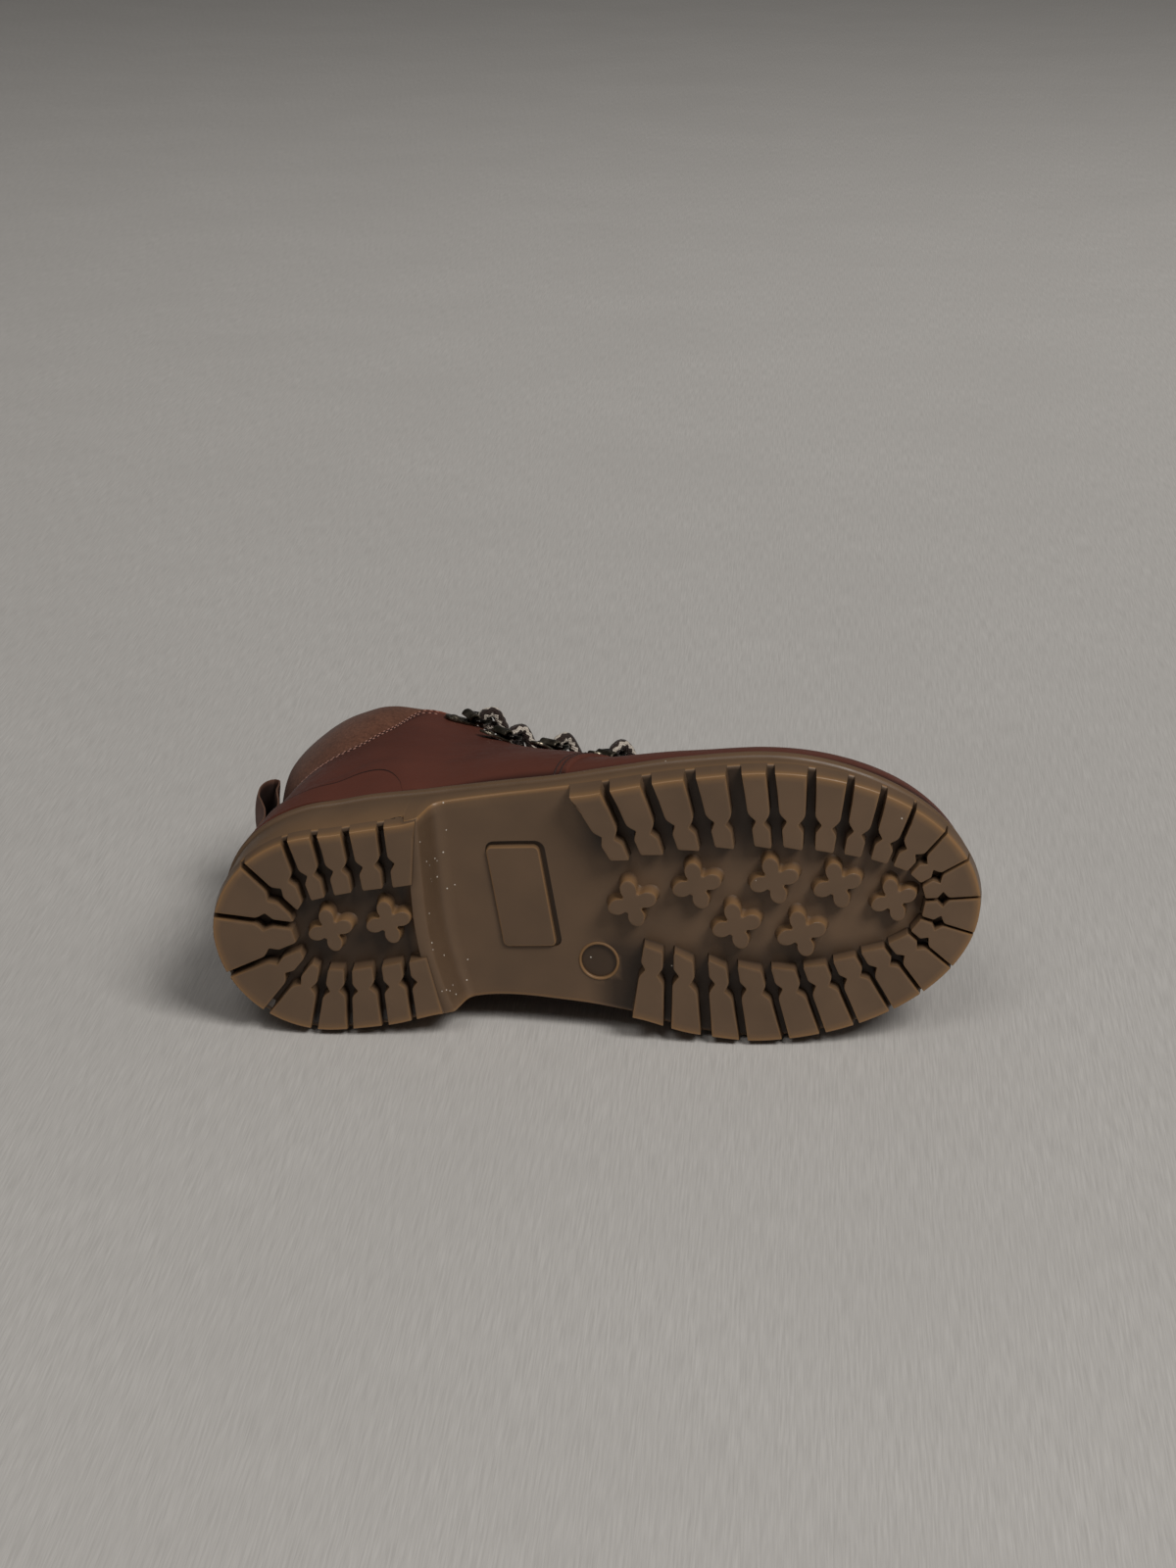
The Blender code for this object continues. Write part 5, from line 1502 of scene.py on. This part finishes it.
def rubber_material():
    """Gum rubber: painted golden light at its edges, painted shade in hollows, a few painted sparkles.
    """
    shader = Shader("gum_rubber", specular_ior_level=0.4)
    mottle = shader.span(shader.noise(60), 0.3, 0.7)
    body = shader.mix(mottle, colour(95, 75, 57), colour(104, 82, 62))
    # glow mark: above zero a painted golden edge light, below zero painted shade
    glow = shader.attribute("glow")
    painted_edge_light = shader.math("MAXIMUM", glow, 0.0)
    tinted = shader.mix(shader.times(painted_edge_light, 0.7), body, colour(150, 112, 70))
    painted_shade = shader.math("MAXIMUM", shader.times(glow, -1.0), 0.0)
    shaded = shader.mix(shader.times(painted_shade, 0.92), tinted, colour(38, 27, 19))
    # Painted sparkle highlights: rare pale specks, more of them round the heel breast
    sparkle_threshold = shader.math("SUBTRACT", 0.70, shader.times(shader.attribute("dust"), 0.24))
    specks = shader.span(shader.cells(420), 0.12, 0.06)
    rare = shader.times(specks, shader.math("GREATER_THAN", shader.noise(140, 1.0), sparkle_threshold))
    shader.set("Base Color", shader.mix(rare, shaded, colour(214, 206, 194)))
    shader.set("Roughness", shader.span(shader.noise(240), 0.3, 0.7, 0.38, 0.5))
    fine = shader.bump(shader.noise(2600, 2.0), 0.18, 0.05)
    shader.set("Normal", shader.bump(shader.noise(90, 2.0), 0.25, 0.2, fine))
    return shader.material


def leather_material(name, dark, light, gloss):
    """Smooth leather with a fine grain, a soft change of tone and a light finish."""
    shader = Shader(name, specular_ior_level=0.16)
    tone = shader.span(shader.noise(38, 4.0), 0.32, 0.68)
    base = shader.mix(tone, colour(*dark), colour(*light))
    warm = shader.mix(shader.times(shader.attribute("warm"), 0.6), base, colour(102, 57, 44))
    bare = shader.mix(shader.times(shader.attribute("raw"), 0.7), warm, colour(146, 80, 58))
    # dark mark: painted shade by the sole's lip, a darker band below the collar, and edge paint with
    # painted shadow on the counter's edge
    shader.set("Base Color", shader.mix(shader.attribute("dark"), bare, colour(30, 17, 14)))
    shader.set("Roughness", shader.span(shader.noise(300), 0.3, 0.7, gloss - 0.05, gloss + 0.1))
    grain = shader.bump(shader.cells(1500), 0.22, 0.08)
    creases = shader.bump(shader.noise(420, 4.0), 0.18, 0.15, grain)
    shader.set("Normal", shader.bump(shader.noise(60, 2.0), 0.2, 0.5, creases))
    return shader.material


def nubuck_material():
    """Brushed leather: a short nap, with clouds where it lies one way or the other."""
    sheen = {"sheen_weight": 0.08, "sheen_roughness": 0.5}
    shader = Shader("nubuck", roughness=0.95, specular_ior_level=0.1, **sheen)
    clouds = shader.span(shader.noise(70, 5.0, 0.65), 0.3, 0.7)
    nap = shader.span(shader.noise(950, 4.0, 0.75), 0.32, 0.68)
    base = shader.mix(clouds, colour(102, 68, 53), colour(122, 83, 65))
    shader.set("Base Color", shader.mix(shader.times(nap, 0.65), base, colour(60, 38, 30)))
    fine = shader.bump(shader.noise(1300, 4.0, 0.7), 0.6, 0.2)
    shader.set("Normal", shader.bump(shader.noise(160, 3.0), 0.25, 0.3, fine))
    return shader.material


def strap_material():
    """Strap leather with a paler raw edge and painted shade on its inner faces."""
    shader = Shader("strap_leather", roughness=0.7, specular_ior_level=0.3)
    tone = shader.span(shader.noise(90, 4.0), 0.3, 0.7)
    base = shader.mix(tone, colour(92, 60, 50), colour(112, 76, 62))
    fuzz = shader.span(shader.noise(900, 4.0, 0.7), 0.35, 0.6)
    raw = shader.times(shader.attribute("raw"), fuzz)
    edged = shader.mix(raw, base, colour(98, 74, 58))
    # Painted shade on the inner faces of the loop
    painted_shade = shader.times(shader.attribute("inside"), 0.9)
    shader.set("Base Color", shader.mix(painted_shade, edged, colour(18, 12, 10)))
    shader.set("Normal", shader.bump(shader.noise(1200, 4.0, 0.7), 0.4, 0.15))
    return shader.material


def fabric_material(name, dark, light):
    """Lining cloth with a fine woven rib."""
    shader = Shader(name, roughness=0.95, specular_ior_level=0.1, sheen_weight=0.2)
    inputs = {"Vector": shader.place(), "Scale": 320.0, "Distortion": 0.6, "Detail": 2.0}
    rib = shader.node("TexWave", inputs)
    shader.set("Base Color", shader.mix(rib, colour(*dark), colour(*light)))
    shader.set("Normal", shader.bump(rib, 0.5, 0.25))
    return shader.material


def metal_material(name, tone, worn, roughness):
    """Blackened metal, a little brighter where it is rubbed."""
    shader = Shader(name, metallic=1.0)
    patches = shader.span(shader.noise(260, 4.0), 0.45, 0.75)
    shader.set("Base Color", shader.mix(patches, colour(*tone), colour(*worn)))
    shader.set("Roughness", shader.span(shader.noise(500), 0.3, 0.7, roughness - 0.06, roughness + 0.08))
    shader.set("Normal", shader.bump(shader.noise(700, 3.0), 0.12, 0.08))
    return shader.material


def lace_material():
    """Round braid: dark yarn with pale zigzag lines along it."""
    shader = Shader("lace", roughness=0.85, specular_ior_level=0.2, sheen_weight=0.15)
    where = shader.node("UVMap", {}, uv_map="along")
    split = shader.tree.nodes.new("ShaderNodeSeparateXYZ")
    shader.tree.links.new(where, split.inputs[0])
    length, turn = split.outputs[0], split.outputs[1]
    zigzag = shader.math("PINGPONG", length, 1.1)
    lean = shader.times(zigzag, 0.22)
    lane = shader.math("FRACT", shader.math("ADD", shader.times(turn, 3.0), lean))
    pale = shader.math("LESS_THAN", shader.math("ABSOLUTE", shader.math("SUBTRACT", lane, 0.5)), 0.19)
    yarn = shader.noise(1600, 3.0)
    dark = shader.mix(yarn, colour(30, 22, 19), colour(62, 46, 40))
    light = shader.mix(yarn, colour(176, 164, 150), colour(226, 216, 202))
    shader.set("Base Color", shader.mix(pale, dark, light))
    round_it, along_it = shader.times(turn, 75.4), shader.times(length, 4.2)
    strands = [shader.math("SINE", shader.math(way, round_it, along_it)) for way in ("ADD", "SUBTRACT")]
    shader.set("Normal", shader.bump(shader.math("MAXIMUM", *strands), 0.7, 0.25))
    return shader.material


def thread_material(name, dark, light):
    shader = Shader(name, roughness=0.7)
    shader.set("Base Color", shader.mix(shader.noise(900, 2.0), colour(*dark), colour(*light)))
    shader.set("Normal", shader.bump(shader.noise(2500, 2.0), 0.4, 0.1))
    return shader.material


def floor_material():
    """Pale grey cloth backdrop with a very fine weave."""
    shader = Shader("floor", roughness=0.9, specular_ior_level=0.1)
    where = shader.node("VectorMath", {0: shader.place(), 1: (1800.0, 60.0, 1.0)}, operation="MULTIPLY")
    weave = shader.noise(1.0, 2.0, 0.6, where)
    broad = shader.span(shader.noise(9, 2.0), 0.3, 0.7)
    tone = shader.mix(broad, colour(196, 193, 189), colour(202, 199, 195))
    shader.set("Base Color", shader.mix(shader.span(weave, 0.3, 0.7), tone, colour(184, 181, 177)))
    shader.set("Normal", shader.bump(weave, 0.3, 0.3))
    return shader.material


# Scene

def make_floor():
    mesh = bpy.data.meshes.new("floor")
    corners = [(x * FLOOR_REACH, y * FLOOR_REACH, 0) for x, y in ((-1, -1), (1, -1), (1, 1), (-1, 1))]
    mesh.from_pydata(corners, [], [(0, 1, 2, 3)])
    mesh.materials.append(floor_material())
    floor = add_object("floor", mesh)


def make_camera():
    level = Vector((math.cos(CAMERA_TURN), math.sin(CAMERA_TURN), 0))
    ahead = Vector((-math.sin(CAMERA_TURN), math.cos(CAMERA_TURN), 0))
    forward = ahead * math.cos(CAMERA_PITCH) - Vector((0, 0, math.sin(CAMERA_PITCH)))
    right = level * math.cos(CAMERA_ROLL) + level.cross(forward) * math.sin(CAMERA_ROLL)
    up = right.cross(forward)
    scale = FRAME_HEIGHT / SENSOR * LENS
    aside = (TARGET_PIXEL[0] - FRAME_WIDTH / 2) / scale
    down = (TARGET_PIXEL[1] - FRAME_HEIGHT / 2) / scale
    ray = (forward + right * aside - up * down).normalized()
    data = bpy.data.cameras.new("camera")
    data.lens = LENS
    data.sensor_width = SENSOR
    camera = add_object("camera", data)
    place = Vector(to_row(TARGET_FOOT)) - ray * CAMERA_DISTANCE
    turned = Matrix((right, up, -forward)).transposed().to_4x4()
    camera.matrix_world = Matrix.Translation(place) @ turned
    bpy.context.scene.camera = camera


def make_lights():
    world = bpy.data.worlds.new("studio")
    world.use_nodes = True
    sky = world.node_tree.nodes["Background"]
    sky.inputs["Color"].default_value = SKY_COLOUR
    sky.inputs["Strength"].default_value = SKY_STRENGTH
    bpy.context.scene.world = world
    for row in LIGHTS:
        data = bpy.data.lights.new(row.name, "AREA")
        data.size = row.size
        data.energy = row.watts
        data.color = row.tint
        light = add_object(row.name, data)
        light.location = row.place
        light.rotation_euler = (Vector(row.aim) - Vector(row.place)).to_track_quat("-Z", "Y").to_euler()
    bpy.context.scene.view_settings.view_transform = "Standard"


def main():
    make_camera()
    make_lights()
    make_floor()
    leather = leather_material("smooth_leather", (84, 47, 38), (97, 55, 44), 0.48)
    vamp_edge = leather_material("leather_edge", (84, 46, 36), (110, 62, 44), 0.6)
    lining = fabric_material("lining", (86, 66, 50), (116, 92, 72))
    plate_metal = metal_material("plate_gunmetal", (88, 82, 70), (160, 150, 134), 0.3)
    ring_metal = metal_material("ring_black", (34, 32, 30), (70, 66, 60), 0.2)
    make_outsole(rubber_material())
    make_insole(lining)
    make_upper(leather, lining, vamp_edge)
    make_heel_counter(leather, vamp_edge)
    make_collar(nubuck_material())
    make_tongue(leather, lining)
    make_pull_loop(strap_material())
    make_hardware(plate_metal, ring_metal)
    make_lace(lace_material())
    # The needle holes' near-black colour is painted shade
    make_stitches(thread_material("thread", (140, 96, 84), (182, 140, 124)),
                  thread_material("dark_thread", (44, 26, 22), (66, 40, 34)),
                  thread_material("needle_hole", (22, 12, 10), (34, 18, 15)))


main()
